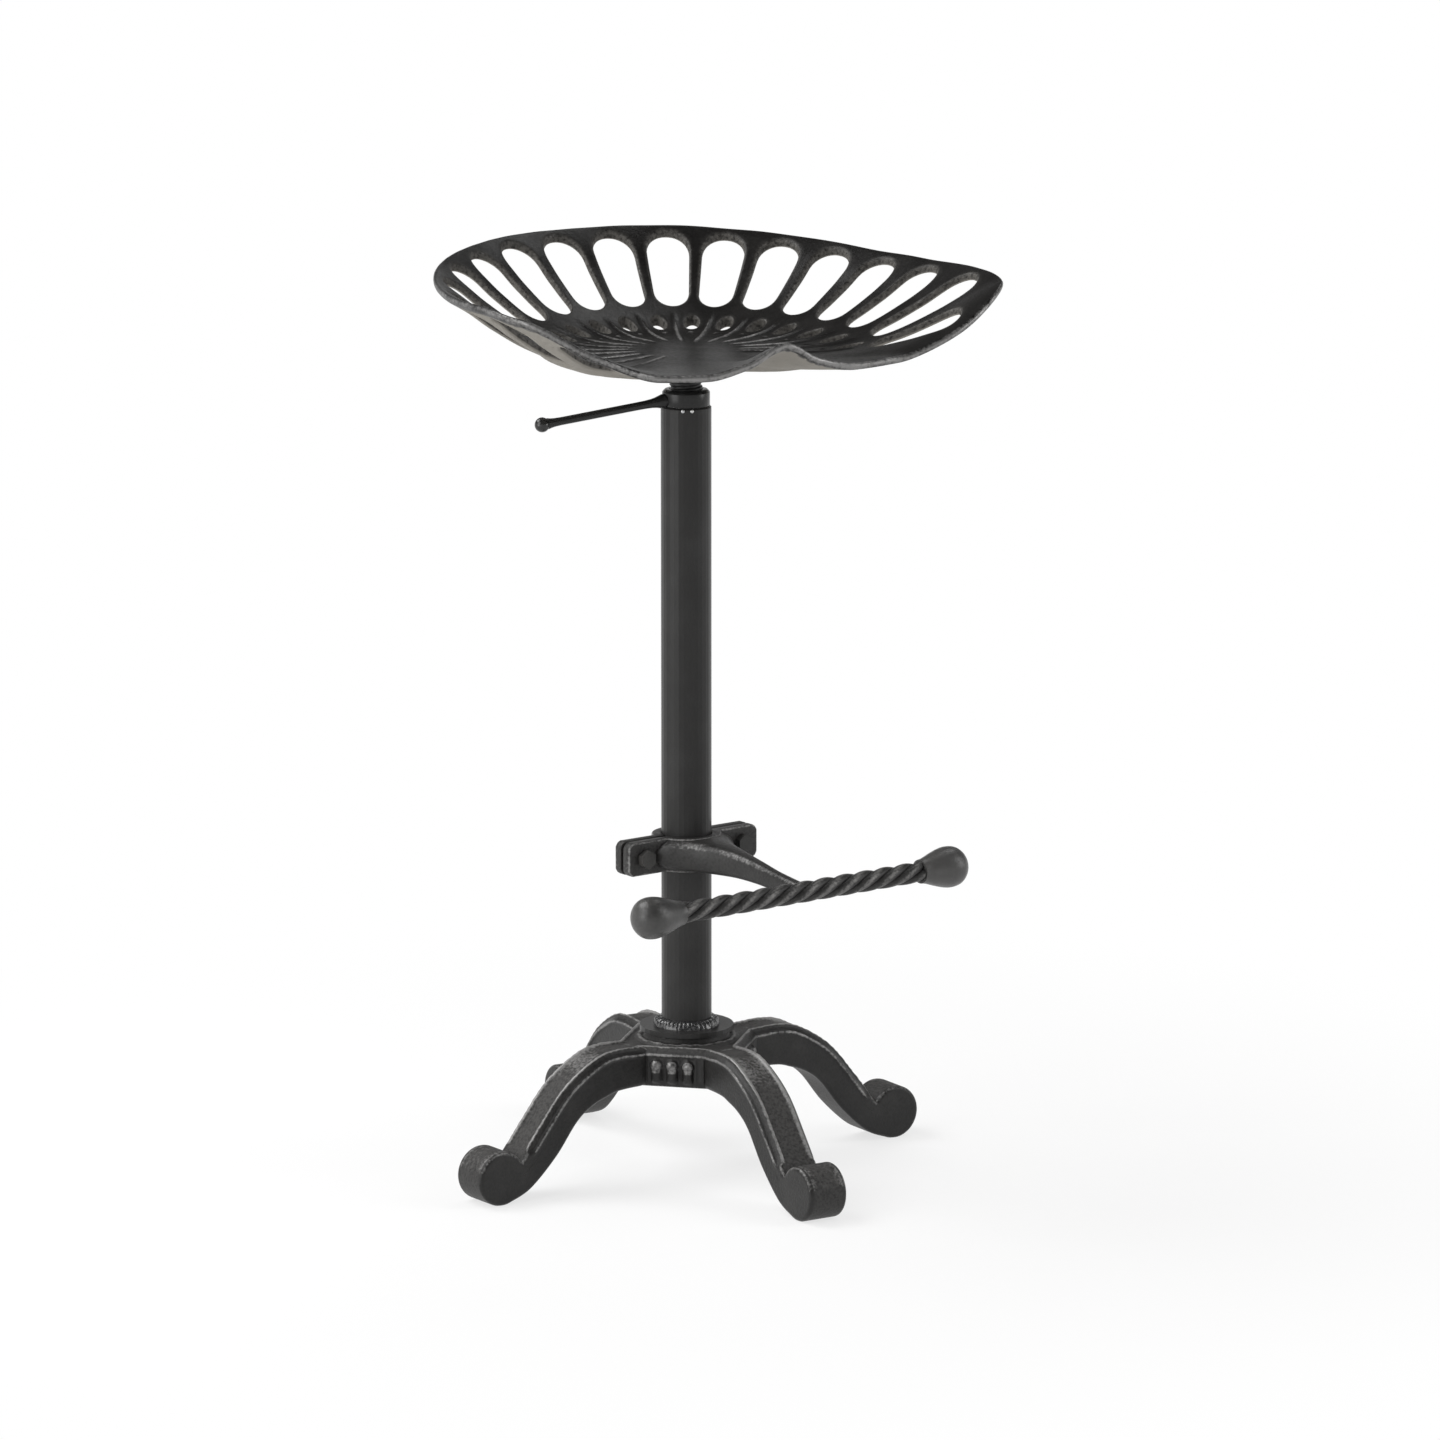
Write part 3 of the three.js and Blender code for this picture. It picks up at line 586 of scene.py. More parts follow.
@dataclass(frozen=True)
class NylonFinish:
    """Natural nylon with grease on it."""

    name: str
    clean: Rgb = (0.75, 0.73, 0.68)
    greased: Rgb = (0.5, 0.46, 0.38)
    depth: float = 0.0001

    def material(self) -> bpy.types.Material:
        """Cream plastic, darker where grease lies."""
        s = Shading(self.name)
        grease = s.noise(90.0, 2.0)
        return s.finish({
            "Base Color": s.mix(grease.between(0.5, 0.8), self.clean, self.greased),
            "Roughness": 0.5 - grease * 0.2,
            "Normal": s.bump(s.noise(700.0), self.depth),
        })


@dataclass(frozen=True)
class BallFinish:
    """Moulded black plastic with a gloss."""

    name: str
    gloss: Rgb = (0.012, 0.012, 0.012)
    scuffed: Rgb = (0.03, 0.03, 0.03)
    depth: float = 0.00004

    def material(self) -> bpy.types.Material:
        """Gloss with faint scuffs."""
        s = Shading(self.name)
        scuff = s.noise(300.0, 3.0, 0.6)
        return s.finish({
            "Base Color": s.mix(scuff.between(0.5, 0.8), self.gloss, self.scuffed),
            "Roughness": 0.14 + scuff * 0.1,
            "Specular IOR Level": 0.5,
            "Normal": s.bump(scuff, self.depth),
        })


class Finishes:
    """One material for each finish, made once and shared."""

    def __init__(self) -> None:
        """Makes them all."""
        self.seat = CastFinish("seat_iron", paint=(0.0045, 0.004, 0.0036),
                               thin_paint=(0.011, 0.0102, 0.0095),
                               raw_paint=(0.11, 0.104, 0.095), bare=(0.3, 0.295, 0.29),
                               grain=360.0, raw_depth=0.00035, roughness=0.36,
                               specular=0.2).material()
        self.iron = CastFinish("leg_iron", paint=(0.009, 0.0088, 0.0085),
                               thin_paint=(0.019, 0.0184, 0.0176),
                               raw_paint=(0.06, 0.058, 0.056), bare=(0.36, 0.355, 0.35),
                               grain_depth=0.00035, roughness=0.33, specular=0.3).material()
        self.knob = CastFinish("knob_iron", paint=(0.034, 0.0335, 0.033), grain_depth=0.00018,
                               thin_paint=(0.055, 0.054, 0.052), roughness=0.28,
                               specular=0.45).material()
        # Painted light: a lighter copy of the knob iron for the right knob, which is to look more
        # brightly lit.
        self.painted_lit_knob = CastFinish("knob_iron_painted_lit", paint=(0.062, 0.061, 0.06),
                                    thin_paint=(0.085, 0.083, 0.08), grain_depth=0.00014,
                                    roughness=0.3, specular=0.45).material()
        self.tube = SteelFinish("tube_paint", paint=(0.024, 0.0235, 0.023),
                                dust=(0.034, 0.0335, 0.033), specular=0.2).material()
        self.collar = SteelFinish("collar_paint", paint=(0.018, 0.018, 0.018), roughness=0.24,
                                  streaks=(0.4, 0.4, 2.0)).material()
        self.bar = CastFinish("bar_iron", paint=(0.012, 0.0118, 0.0115), grain_depth=0.0002,
                              roughness=0.34, specular=0.35).material()
        self.screw = SteelFinish("screw_paint", roughness=0.4).material()
        self.bolt = SteelFinish("bolt_paint", paint=(0.03, 0.03, 0.029), dust=(0.06, 0.058, 0.055),
                                roughness=0.36).material()
        self.weld = WeldFinish("weld_paint").material()
        self.zinc = ZincFinish("zinc_plate").material()
        self.nylon = NylonFinish("greased_nylon").material()
        self.ball = BallFinish("gloss_plastic").material()


def dress(node: str, material: bpy.types.Material) -> None:
    """Gives a CAD node its finish in every slot."""
    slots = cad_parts[node].data.materials
    if not slots:
        slots.append(material)
    for place in range(len(slots)):
        slots[place] = material


# The stool


@dataclass
class SeatPan:
    """Cast dish with 18 slots, 17 eyelets and a pommel between the thighs.

    The plan is polar: a bearing is measured from the back, +Y, towards +X, and a reach
    from the column's axis. rim_shares has the rim's reach and height for degrees from the
    back, as shares of half_width and rise, and margin_shares has the share of slot_margin.
    section_shares has the share of the rim's height for the share of its reach.
    """

    floor: float = 659.55
    rise: float = 74.0
    half_width: float = 219.0
    thickness: float = 5.8
    roll: float = 3.0
    pitch: float = math.radians(15.2)
    slots_per_side: int = 9
    slot_inner_reach: float = 121.5
    slot_margin: float = 6.5
    slot_inner_radius: float = 14.0
    slot_outer_width: float = 34.2
    slot_corner: float = 16.5
    slot_fillet: float = 2.3
    eyelet_inset: float = 22.3
    eyelet_across: float = 5.9
    eyelet_along: float = 10.4
    eyelet_fillet: float = 1.3
    ring_depth: float = 2.3
    ring_halves: tuple = (13, 17)
    zone_inner: float = 41.0
    zone_outer: float = 2.6
    ray_height: float = 1.2
    ray_width: float = 1.5
    ray_start: float = 42.0
    ray_inset: float = 12.0
    boss_height: float = 1.1
    boss_radius: float = 2.0
    boss_inset: float = 43.0
    floor_wear: float = 0.4
    floor_worn_reach: tuple = (70, 118)
    relief_wear: float = 0.45
    band_wear: float = 0.6
    band_width: float = 5.0
    most_wear: float = 0.8
    hole_wear: tuple = (0.3, 0.45, 0.5, 0.4, 0.2)
    hole_raw: tuple = (1.0, 0.9, 0.6, 0.3, 0.1)
    # Rawness of the pan's underside: rough casting, and past 1 the painted reflection of the
    # floor's bounce light.
    underside_raw_and_bounce: float = 1.8
    per_sector: int = 16
    slot_sides: int = 16
    eyelet_sides: int = 10
    hole_rings: int = 4
    floor_rows: int = 34
    front_steps: int = 90
    edge_steps: int = 10
    hull_samples: int = 400
    rim_shares: tuple = (
        (0, 0.864, 1), (20, 0.871, 0.993), (40, 0.875, 0.95), (60, 0.892, 0.885),
        (80, 0.925, 0.82), (95, 0.977, 0.811), (110, 1.061, 0.824), (122, 1.132, 0.768),
        (134, 1.031, 0.403), (146, 0.862, 0.12), (158, 0.791, 0.095), (169, 0.754, 0.186),
        (180, 0.752, 0.376))
    margin_shares: tuple = ((0, 1), (60, 1.15), (100, 1.5), (116, 1.6), (131, 3.2), (180, 3.2))
    section_shares: tuple = ((0, 0), (0.34, 0), (0.44, 0.02), (0.52, 0.075), (0.66, 0.265),
                             (0.8, 0.551), (0.9, 0.797), (1, 1))

    def polar(self, plan: Array) -> tuple[Array, Array]:
        """Bearing and reach of plan points."""
        return np.arctan2(plan[..., 0], plan[..., 1]), np.hypot(plan[..., 0], plan[..., 1])

    def point(self, bearing: Array, reach: Array) -> Array:
        """Plan point at a bearing and a reach."""
        return np.stack([reach * np.sin(bearing), reach * np.cos(bearing)], axis=-1)

    def axes(self, bearing: float) -> tuple[Array, Array]:
        """Unit plan vectors outwards at a bearing and across it, towards higher bearings."""
        sine, cosine = np.sin(bearing), np.cos(bearing)
        return np.array([sine, cosine]), np.array([cosine, -sine])

    def from_back(self, bearing: Array) -> Array:
        """Angle between a bearing and the back, from 0 to pi."""
        return np.abs((bearing + np.pi) % (2 * np.pi) - np.pi)

    def rim(self, bearing: Array, column: int) -> Array:
        """Share of the rim's reach (column 1) or height (column 2) at a bearing."""
        knots = np.array(self.rim_shares, float)
        return monotone(np.radians(knots[:, 0]), knots[:, column], self.from_back(bearing), True)

    def rim_reach(self, bearing: Array) -> Array:
        """Reach of the rim's edge."""
        return self.half_width * self.rim(bearing, 1)

    def slot_start(self, bearing: Array) -> Array:
        """Reach of the slots' inner ends: they step out by half of what the rim does."""
        grown = self.rim_reach(bearing) - self.rim_reach(np.zeros(1))
        return self.slot_inner_reach + grown / 2

    def eyelet_in(self, bearing: Array) -> Array:
        """Inner edge of the eyelets' sectors."""
        return self.slot_start(bearing) - self.zone_inner

    def slot_in(self, bearing: Array) -> Array:
        """Line between eyelets and slots, which bows inwards before each slot."""
        last = self.slots_per_side * self.pitch
        turn = np.minimum(self.from_back(bearing), last)
        wave = np.cos(2 * np.pi * turn / self.pitch)
        return self.slot_start(bearing) - self.zone_outer * (1 - wave)

    def slot_out(self, bearing: Array) -> Array:
        """Start of the rim's rounding."""
        return self.rim_reach(bearing) - self.roll

    def dish(self, plan: Array) -> Array:
        """Height of the smooth upper face: floor + rim height x section(reach / rim reach)."""
        bearing, reach = self.polar(plan)
        shares = np.array(self.section_shares, float)
        share = np.clip(reach / self.rim_reach(bearing), 0, 1)
        section = monotone(shares[:, 0], shares[:, 1], share, False)
        return self.floor + self.rise * self.rim(bearing, 2) * section

    def margin(self, bearing: Array) -> Array:
        """Width of the rim outside a slot."""
        knots = np.array(self.margin_shares, float)
        share = monotone(np.radians(knots[:, 0]), knots[:, 1], np.abs(bearing), True)
        return self.slot_margin * share

    def swell(self, plan: Array) -> Array:
        """Unevenness of the casting: a sum of a few long waves, under 0.3 mm."""
        x, y = plan[..., 0], plan[..., 1]
        return (0.12 * np.sin(x / 11.0 + 1.3 * np.sin(y / 17.0))
                + 0.1 * np.sin(y / 9.0 + 1.1 * np.sin(x / 14.0))
                + 0.06 * np.sin((x + y) / 5.5))

    def relief(self, plan: Array) -> Array:
        """Thin rays between the eyelets and small bosses at the eyelets' inner ends.

        A ray is the bell curve exp(-(x / width)^2) across and has a logistic step at each
        end, and a boss is exp(-(r / radius)^4). Both stop where the dish's front is plain.
        """
        bearing, reach = self.polar(plan)
        start = self.slot_start(bearing)
        off_ray = (bearing / self.pitch) % 1.0 - 0.5
        off_rib = (bearing / self.pitch + 0.5) % 1.0 - 0.5
        across = reach * off_ray * self.pitch
        length = (1 / (1 + np.exp((self.ray_start - reach) / 2))
                  / (1 + np.exp((reach - start + self.ray_inset) / 1.5)))
        ray = self.ray_height * np.exp(-((across / self.ray_width) ** 2)) * length
        away = np.hypot(reach - start + self.boss_inset, reach * off_rib * self.pitch)
        boss = self.boss_height * np.exp(-((away / self.boss_radius) ** 4))
        back = np.abs(bearing) < self.pitch * (self.slots_per_side - 0.3)
        return (ray + boss) * back

    def nearness(self, bearing: Array) -> Array:
        """How near the front a bearing is: 0 at the back, 1 at the pommel."""
        return (1 - np.cos(bearing)) / 2

    def worn(self, plan: Array) -> Array:
        """Wear of the upper face: its floor, its relief and a band along the rim."""
        bearing, reach = self.polar(plan)
        floor = self.floor_wear * (1 - ramp(reach, *self.floor_worn_reach))
        near = self.nearness(bearing) ** 1.5
        inset = self.rim_reach(bearing) - reach
        band = self.band_wear * near * np.exp(-((inset / self.band_width) ** 2))
        relief = self.relief_wear * np.clip(self.relief(plan), 0, 1)
        return np.clip(floor + relief + band, 0, self.most_wear)

    def upper(self, plan: Array) -> Array:
        """Height of the upper face."""
        return self.dish(plan) + self.swell(plan) + self.relief(plan)

    def slope(self, plan: Array) -> Array:
        """Rise of the dish for each millimetre outwards, from two points 1 mm apart."""
        reach = np.maximum(self.polar(plan)[1], 1.0)[..., None]
        return self.dish(plan) - self.dish(plan * (1 - 1 / reach))

    def lower(self, plan: Array) -> Array:
        """Height of the lower face: the wall's thickness is measured along its normal.

        A ring under the eyelets is thicker by ring_depth. It thins out between the two
        ring_halves, which are measured from the eyelets' middles.
        """
        bearing, reach = self.polar(plan)
        off = reach - self.slot_start(bearing) + self.eyelet_inset
        ring = self.ring_depth * (1 - ramp(np.abs(off), *self.ring_halves))
        return self.dish(plan) - (self.thickness + ring) * np.hypot(1, self.slope(plan))

    def sector(self, middle: float, inner: Callable, outer: Callable, sides: int) -> Array:
        """Closed plan loop round one sector, from its inner left corner.

        Args:
            middle: Bearing of the sector's middle.
            inner: Reach of its inner arc at a bearing.
            outer: Reach of its outer arc at a bearing.
            sides: Steps along each radial side.

        Returns:
            The loop's points in rows.
        """
        arc = np.linspace(middle - self.pitch / 2, middle + self.pitch / 2, self.per_sector + 1)
        share = np.linspace(0, 1, sides + 1)
        ends = arc[[0, -1]]
        low, high = inner(ends), outer(ends)
        return np.concatenate([
            self.point(arc, inner(arc))[:-1],
            self.point(ends[1] + 0 * share, low[1] + (high[1] - low[1]) * share)[:-1],
            self.point(arc[::-1], outer(arc[::-1]))[:-1],
            self.point(ends[0] + 0 * share, high[0] + (low[0] - high[0]) * share)[:-1]])

    def slot_outline(self, middle: float, sides: int) -> Array:
        """Hull in plan of one circle at the inner end and two at the outer end.

        In each direction the hull's point is that of the circle that reaches furthest.

        Args:
            middle: Bearing of the slot's middle.
            sides: Steps along each side.

        Returns:
            The loop's points in rows, in the order of its sector's.
        """
        out, across = self.axes(middle)
        reach = self.rim_reach(np.array([middle]))
        spread = (self.slot_outer_width / 2 - self.slot_corner) / (reach[0] - self.slot_corner)
        ends = middle + np.array([-spread, spread])
        far = self.rim_reach(ends) - self.margin(ends) - self.slot_corner
        near = self.slot_start(np.array([middle])) + self.slot_inner_radius
        centres = np.vstack([self.point(np.array([middle]), near), self.point(ends, far)])
        radii = np.array([self.slot_inner_radius, self.slot_corner, self.slot_corner])

        def span(start: float, end: float, count: int) -> Array:
            """Outline between two directions, in equal steps, its last point left out."""
            turn = np.radians(np.linspace(start, end, self.hull_samples))[:, None]
            away = -np.cos(turn) * out + np.sin(turn) * across
            best = np.argmax(away @ centres.T + radii, axis=1)
            return respace(centres[best] + radii[best, None] * away, count)[:-1]

        n = self.per_sector
        return np.concatenate([span(-60, 60, n), span(60, 120, sides), span(120, 240, n),
                               span(240, 300, sides)])

    def eyelet_outline(self, middle: float, sides: int) -> Array:
        """Ellipse on a rib: across by along, in the order of its sector's sides."""
        n = self.per_sector
        turn = np.radians(np.concatenate([
            np.linspace(-45, 45, n, False), np.linspace(45, 135, sides, False),
            np.linspace(135, 225, n, False), np.linspace(225, 315, sides, False)]))
        out, across = self.axes(middle)
        reach = self.slot_start(np.array([middle]))[0] - self.eyelet_inset
        return (out * reach - np.cos(turn)[:, None] * out * self.eyelet_along
                + np.sin(turn)[:, None] * across * self.eyelet_across)

    def ringed_hole(self, outline: Array, border: Array, fillet: float) -> Patch:
        """Surface round one hole: upper face, rounded edge, upright wall and back below.

        A fillet row at angle a from the wall stands fillet x (1 - cos a) off the outline
        and fillet x (1 - sin a) below the face, or above it on the lower side.

        Args:
            outline: The hole's closed plan loop.
            border: The closed plan loop round it, with as many points.
            fillet: Radius of the hole's edges.

        Returns:
            The surface as one patch.
        """
        normal = loop_normals(outline)
        away = outline - outline.mean(axis=0)
        normal *= np.sign((normal * away).sum(axis=1, keepdims=True))
        turn = np.linspace(0, np.pi / 2, len(self.hole_wear))[:, None, None]
        curl = outline + normal * fillet * (1 - np.cos(turn))
        drop = (fillet * (1 - np.sin(turn)))[..., 0] + 0 * curl[..., 0]
        share = np.linspace(0, 1, self.hole_rings + 1)[1:, None, None]
        flat = curl[-1] * (1 - share) + border * share
        plan = np.concatenate([curl, flat])
        drop = np.concatenate([drop, 0 * flat[..., 0]])
        top = lifted(plan, self.upper(plan) - drop)
        bottom = lifted(plan, self.lower(plan) + drop)
        flat_rows = np.zeros(self.hole_rings)
        edge = np.concatenate([self.hole_wear, flat_rows])[:, None]
        wear = np.concatenate([np.maximum(edge, self.worn(plan))[::-1], 0 * drop + edge * 0.4])
        raw = np.concatenate([self.hole_raw, flat_rows])
        # The rows below take the underside's rawness, which lays on the painted floor bounce.
        below = np.where(raw == self.hole_raw[0], raw, self.underside_raw_and_bounce)
        raw = np.concatenate([raw[::-1], below])[:, None]
        return patch(np.concatenate([top[::-1], bottom]), wear, raw, close_columns=True)

    def plain(self, bearing: Array, inner: Array, outer: Array, rows: int) -> list[Patch]:
        """Upper and lower face between two reaches, with no hole."""
        share = np.linspace(0, 1, rows + 1)[:, None]
        plan = self.point(bearing + 0 * share, inner + (outer - inner) * share)
        # The lower face takes the underside's rawness, which lays on the painted floor bounce.
        return [patch(lifted(plan, self.upper(plan)), self.worn(plan)),
                patch(lifted(plan, self.lower(plan)), 0.0, self.underside_raw_and_bounce)]

    def rim_edge(self, bearing: Array) -> Patch:
        """Rounded edge: half an ellipse from the upper face over the rim to the lower one.

        It is worn most on its outermost line, and more towards the front.
        """
        turn = np.linspace(0, np.pi, self.edge_steps + 1)[:, None]
        start = self.slot_out(bearing)
        plan = self.point(bearing, start)
        high, low = self.upper(plan), self.lower(plan)
        out = self.roll * np.sin(turn)
        ring = self.point(bearing + 0 * turn, start + out)
        level = (high + low) / 2 + (high - low) / 2 * np.cos(turn) + self.slope(plan) * out
        wear = (0.55 + 0.4 * np.sin(turn) ** 2) * (0.3 + 0.7 * self.nearness(bearing))
        return patch(lifted(ring, level), wear, close_columns=True)

    def build(self, finishes: Finishes) -> None:
        """Makes the pan from sectors round its holes, plain parts and the rim."""
        patches: list[Patch] = []
        last = self.slots_per_side * self.pitch
        for place in range(-self.slots_per_side, self.slots_per_side):
            middle = (place + 0.5) * self.pitch
            border = self.sector(middle, self.slot_in, self.slot_out, self.slot_sides)
            outline = self.slot_outline(middle, self.slot_sides)
            patches.append(self.ringed_hole(outline, border, self.slot_fillet))
        for place in range(1 - self.slots_per_side, self.slots_per_side):
            middle = place * self.pitch
            border = self.sector(middle, self.eyelet_in, self.slot_in, self.eyelet_sides)
            outline = self.eyelet_outline(middle, self.eyelet_sides)
            patches.append(self.ringed_hole(outline, border, self.eyelet_fillet))
        side = np.linspace(-last, last, 2 * self.slots_per_side * self.per_sector + 1)
        front = np.linspace(last, 2 * np.pi - last, self.front_steps + 1)
        edge = np.linspace(last - self.pitch / 2, last, self.per_sector // 2 + 1)
        for arc in (front, edge, -edge):
            patches += self.plain(arc, self.eyelet_in(arc), self.slot_in(arc), self.eyelet_sides)
        patches += self.plain(front, self.slot_in(front), self.slot_out(front), self.slot_sides)
        around = np.concatenate([side, front[1:]])
        patches += self.plain(around, 0 * around, self.eyelet_in(around), self.floor_rows)
        patches.append(self.rim_edge(around[:-1]))
        make_piece("seat_dish", patches, finishes.seat, Body.SEAT, ["seat_pan"])


@dataclass
class BaseCasting:
    """Cast hub with reeded faces on four legs with edge mouldings and scroll feet.

    A leg is drawn in its own plane, by its reach from the column's axis and its level above
    the floor. top_shares and under_shares have the outlines' points as shares of reach and
    of top or underside. The keys of a section, moulded or plain, are pairs: how far inwards
    from the side plane a point lies, and how far above the outline. A key's wear is in
    moulded_wear or plain_wear.
    """

    turn: float = 4.0
    bearings: tuple = (0.0, 87.5, 184.0, 270.0)
    reach: float = 189.1
    top: float = 108.0
    underside: float = 76.0
    half_width: float = 17.0
    scroll_radius: float = 21.5
    scroll_level: float = 21.0
    leg_root: float = 30.0
    face_reach: float = 50.0
    face_half: float = 32.0
    face_rows: int = 16
    rim_level: float = 107.1
    hub_keys: int = 16
    neck_radius: float = 33.0
    neck_top: float = 112.5
    bore: float = 6.3
    counterbore: float = 18.0
    web_foot: float = 88.0
    reeds: tuple = (-12.5, 0.0, 12.5)
    reed_radius: float = 4.6
    bulb_radius: float = 5.4
    bulb_level: float = 93.4
    reed_sink: float = 0.3
    reed_foot: tuple = (79.0, 83.0)
    ridges: tuple = ((6.25, 0.8, 0.9), (18.9, 0.9, 1.0), (25.0, 1.3, 1.3))
    ridge_top: float = 101.0
    outline_steps: int = 96
    scroll_steps: int = 44
    moulded_from: tuple = (49, 54)
    moulded_end: tuple = (9.0, 16.0)
    sunk_root: tuple = (44, 57)
    root_sink: float = 1.6
    top_shares: tuple = ((0, 0.985), (0.3, 0.992), (0.4, 0.998), (0.51, 0.961), (0.667, 0.789),
                         (0.801, 0.519))
    under_shares: tuple = ((0, 1), (0.362, 1), (0.474, 0.946), (0.555, 0.863), (0.625, 0.726),
                           (0.727, 0.41), (0.856, 0.121))
    moulded: tuple = (
        (0, -9), (0, -7.6), (-0.25, -6.8), (-1.0, -5.9), (-1.35, -4.9), (-1.0, -3.9),
        (0.1, -3.4), (1.0, -2.6), (1.9, -1.7), (2.7, -0.9), (3.0, 0.1), (3.6, 0.8), (4.6, 1.0),
        (5.6, 0.7), (6.3, -0.1), (6.9, -0.8), (8.5, -1), (12.5, -1), (17, -1))
    plain: tuple = (
        (0, -9), (0, -7.6), (0, -6.4), (0, -5.4), (0, -4.6), (0, -3.8), (0, -3.2),
        (0.12, -2.3), (0.45, -1.5), (0.95, -0.9), (1.5, -0.45), (2.1, -0.15), (2.8, 0),
        (3.8, 0), (4.8, 0), (5.9, 0), (8.5, 0), (12.5, 0), (17, 0))
    # Wear on the legs' crowns, raised so that it also stands in as a painted sheen where a lamp
    # catches them.
    crown_wear_and_sheen: float = 0.4
    crown_reach: float = 98.0
    crown_width: float = 22.0
    scroll_wear: float = 0.25
    scroll_worn_reach: tuple = (178, 190)
    moulded_wear: tuple = (0, 0, 0.25, 0.6, 0.8, 0.65, 0.2, 0, 0, 0.2, 0.5, 0.78, 0.88, 0.82,
                           0.6, 0.4, 0.3, 0.25, 0.25)
    plain_wear: tuple = (0, 0, 0, 0, 0, 0.1, 0.2, 0.4, 0.55, 0.65, 0.62, 0.55, 0.45, 0.4, 0.35,
                         0.3, 0.2, 0.2, 0.2)

    def scroll(self, start: float, end: float) -> Array:
        """Arc of the scroll between two angles in degrees."""
        angle = np.radians(np.linspace(start, end, self.scroll_steps + 1))
        return np.stack([self.reach + self.scroll_radius * np.cos(angle),
                         self.scroll_level + self.scroll_radius * np.sin(angle)], axis=1)

    def line(self, shares: tuple, height: float, arc: Array) -> Array:
        """Outline from the leg's root along one side and the scroll to the scroll's front.

        Args:
            shares: Points of the leg as shares of reach and height.
            height: Level that the second shares are of.
            arc: The scroll's part of the outline.

        Returns:
            Pairs of reach and level in rows.
        """
        points = np.vstack([np.array(shares, float) * (self.reach, height), arc[:1]])
        curve = through(points, 24)
        leg = respace(curve[curve[:, 0] > self.leg_root], self.outline_steps)
        return np.vstack([leg, arc[1:]])

    def rows(self, line: Array, side: float) -> tuple[Array, Array, Array]:
        """Sections along one outline.

        Each section is a blend of the moulded and the plain one. The moulding begins clear
        of the hub, over moulded_from, and falls off as a quarter circle over moulded_end,
        the distances that are left to the scroll.

        Args:
            line: Outline from the root outwards.
            side: 1 for the upper outline and -1 for the lower one.

        Returns:
            Points, wear and rawness, with a section in each row.
        """
        way = np.gradient(line, axis=0)
        way /= np.linalg.norm(way, axis=1, keepdims=True)
        normal = side * np.stack([-way[:, 1], way[:, 0]], axis=1)
        normal[-1] = (line[-1] - (self.reach, self.scroll_level)) / self.scroll_radius
        count = self.outline_steps + 1
        steps = np.linalg.norm(np.diff(line[:count], axis=0), axis=1)
        left = np.concatenate([[0], np.cumsum(steps)])
        left = np.concatenate([left[-1] - left, np.zeros(len(line) - count)])
        bare, whole = self.moulded_end
        ending = np.clip((whole - left) / (whole - bare), 0, 1)
        share = ramp(line[:, 0], *self.moulded_from) * np.sqrt(1 - ending**2) * (side > 0)
        keys = (share[:, None, None] * np.array(self.moulded, float)
                + (1 - share)[:, None, None] * np.array(self.plain, float))
        keys = np.concatenate([keys, keys[:, -2::-1]], axis=1)
        mirror = np.where(np.arange(keys.shape[1]) >= len(self.moulded), -1.0, 1.0)
        rough = 0.18 * np.sin(left * 0.9 + 1.3 * np.sin(left * 0.31))[:, None] * share[:, None]
        lift = keys[..., 1] + rough * (keys[..., 1] > -0.5)
        plane = line[:, None] + normal[:, None] * lift[..., None]
        sink = self.root_sink * (1 - ramp(line[:, 0], *self.sunk_root))[:, None]
        level = np.maximum(plane[..., 1] - side * sink, 0)
        lateral = (self.half_width - keys[..., 0]) * mirror
        points = np.stack([plane[..., 0], lateral, level], axis=-1)
        wear = (share[:, None] * np.array(self.moulded_wear)
                + (1 - share)[:, None] * np.array(self.plain_wear))
        wear = np.concatenate([wear, wear[:, -2::-1]], axis=1)
        # Wear and painted sheen on each leg's crown, a bell curve along its reach, plus wear
        # towards the scroll.
        crown = self.crown_wear_and_sheen * np.exp(
            -(((line[:, 0] - self.crown_reach) / self.crown_width) ** 2))
        crown = crown + self.scroll_wear * ramp(line[:, 0], *self.scroll_worn_reach)
        wear = wear + crown[:, None] * (keys[..., 0] > 3)
        raw = np.clip((keys[..., 0] - 1.0) / 5.0, 0, 1) * 0.85 + 0.15
        if side < 0:
            wear, raw = wear * 0.5, raw * 0.6
        return points, wear, raw

    def leg(self, bearing: float) -> Patch:
        """One leg as a closed shell: its sections joined by the two side faces."""
        upper = self.rows(self.line(self.top_shares, self.top, self.scroll(150, 20)), 1)
        lower = self.rows(
            self.line(self.under_shares, self.underside, self.scroll(-110, 20)), -1)
        share = np.linspace(0, 1, 6)[1:-1]

        def joined(high: Array, low: Array) -> Array:
            """Upper section, right side, lower section and left side, as one loop."""
            extra = share.reshape(-1, *[1] * (high.ndim - 2))
            right = high[:, None, -1] * (1 - extra) + low[:, None, -1] * extra
            left = low[:, None, 0] * (1 - extra) + high[:, None, 0] * extra
            return np.concatenate([high, right, low[:, ::-1], left], axis=1)

        points, wear, raw = (joined(high, low) for high, low in zip(upper, lower))
        points = np.concatenate([0 * points[:1] + points[:1].mean(axis=1, keepdims=True), points])
        wear, raw = (np.concatenate([level[:1], level]) for level in (wear, raw))
        return patch(turned(points, bearing + self.turn), wear, raw, close_columns=True)

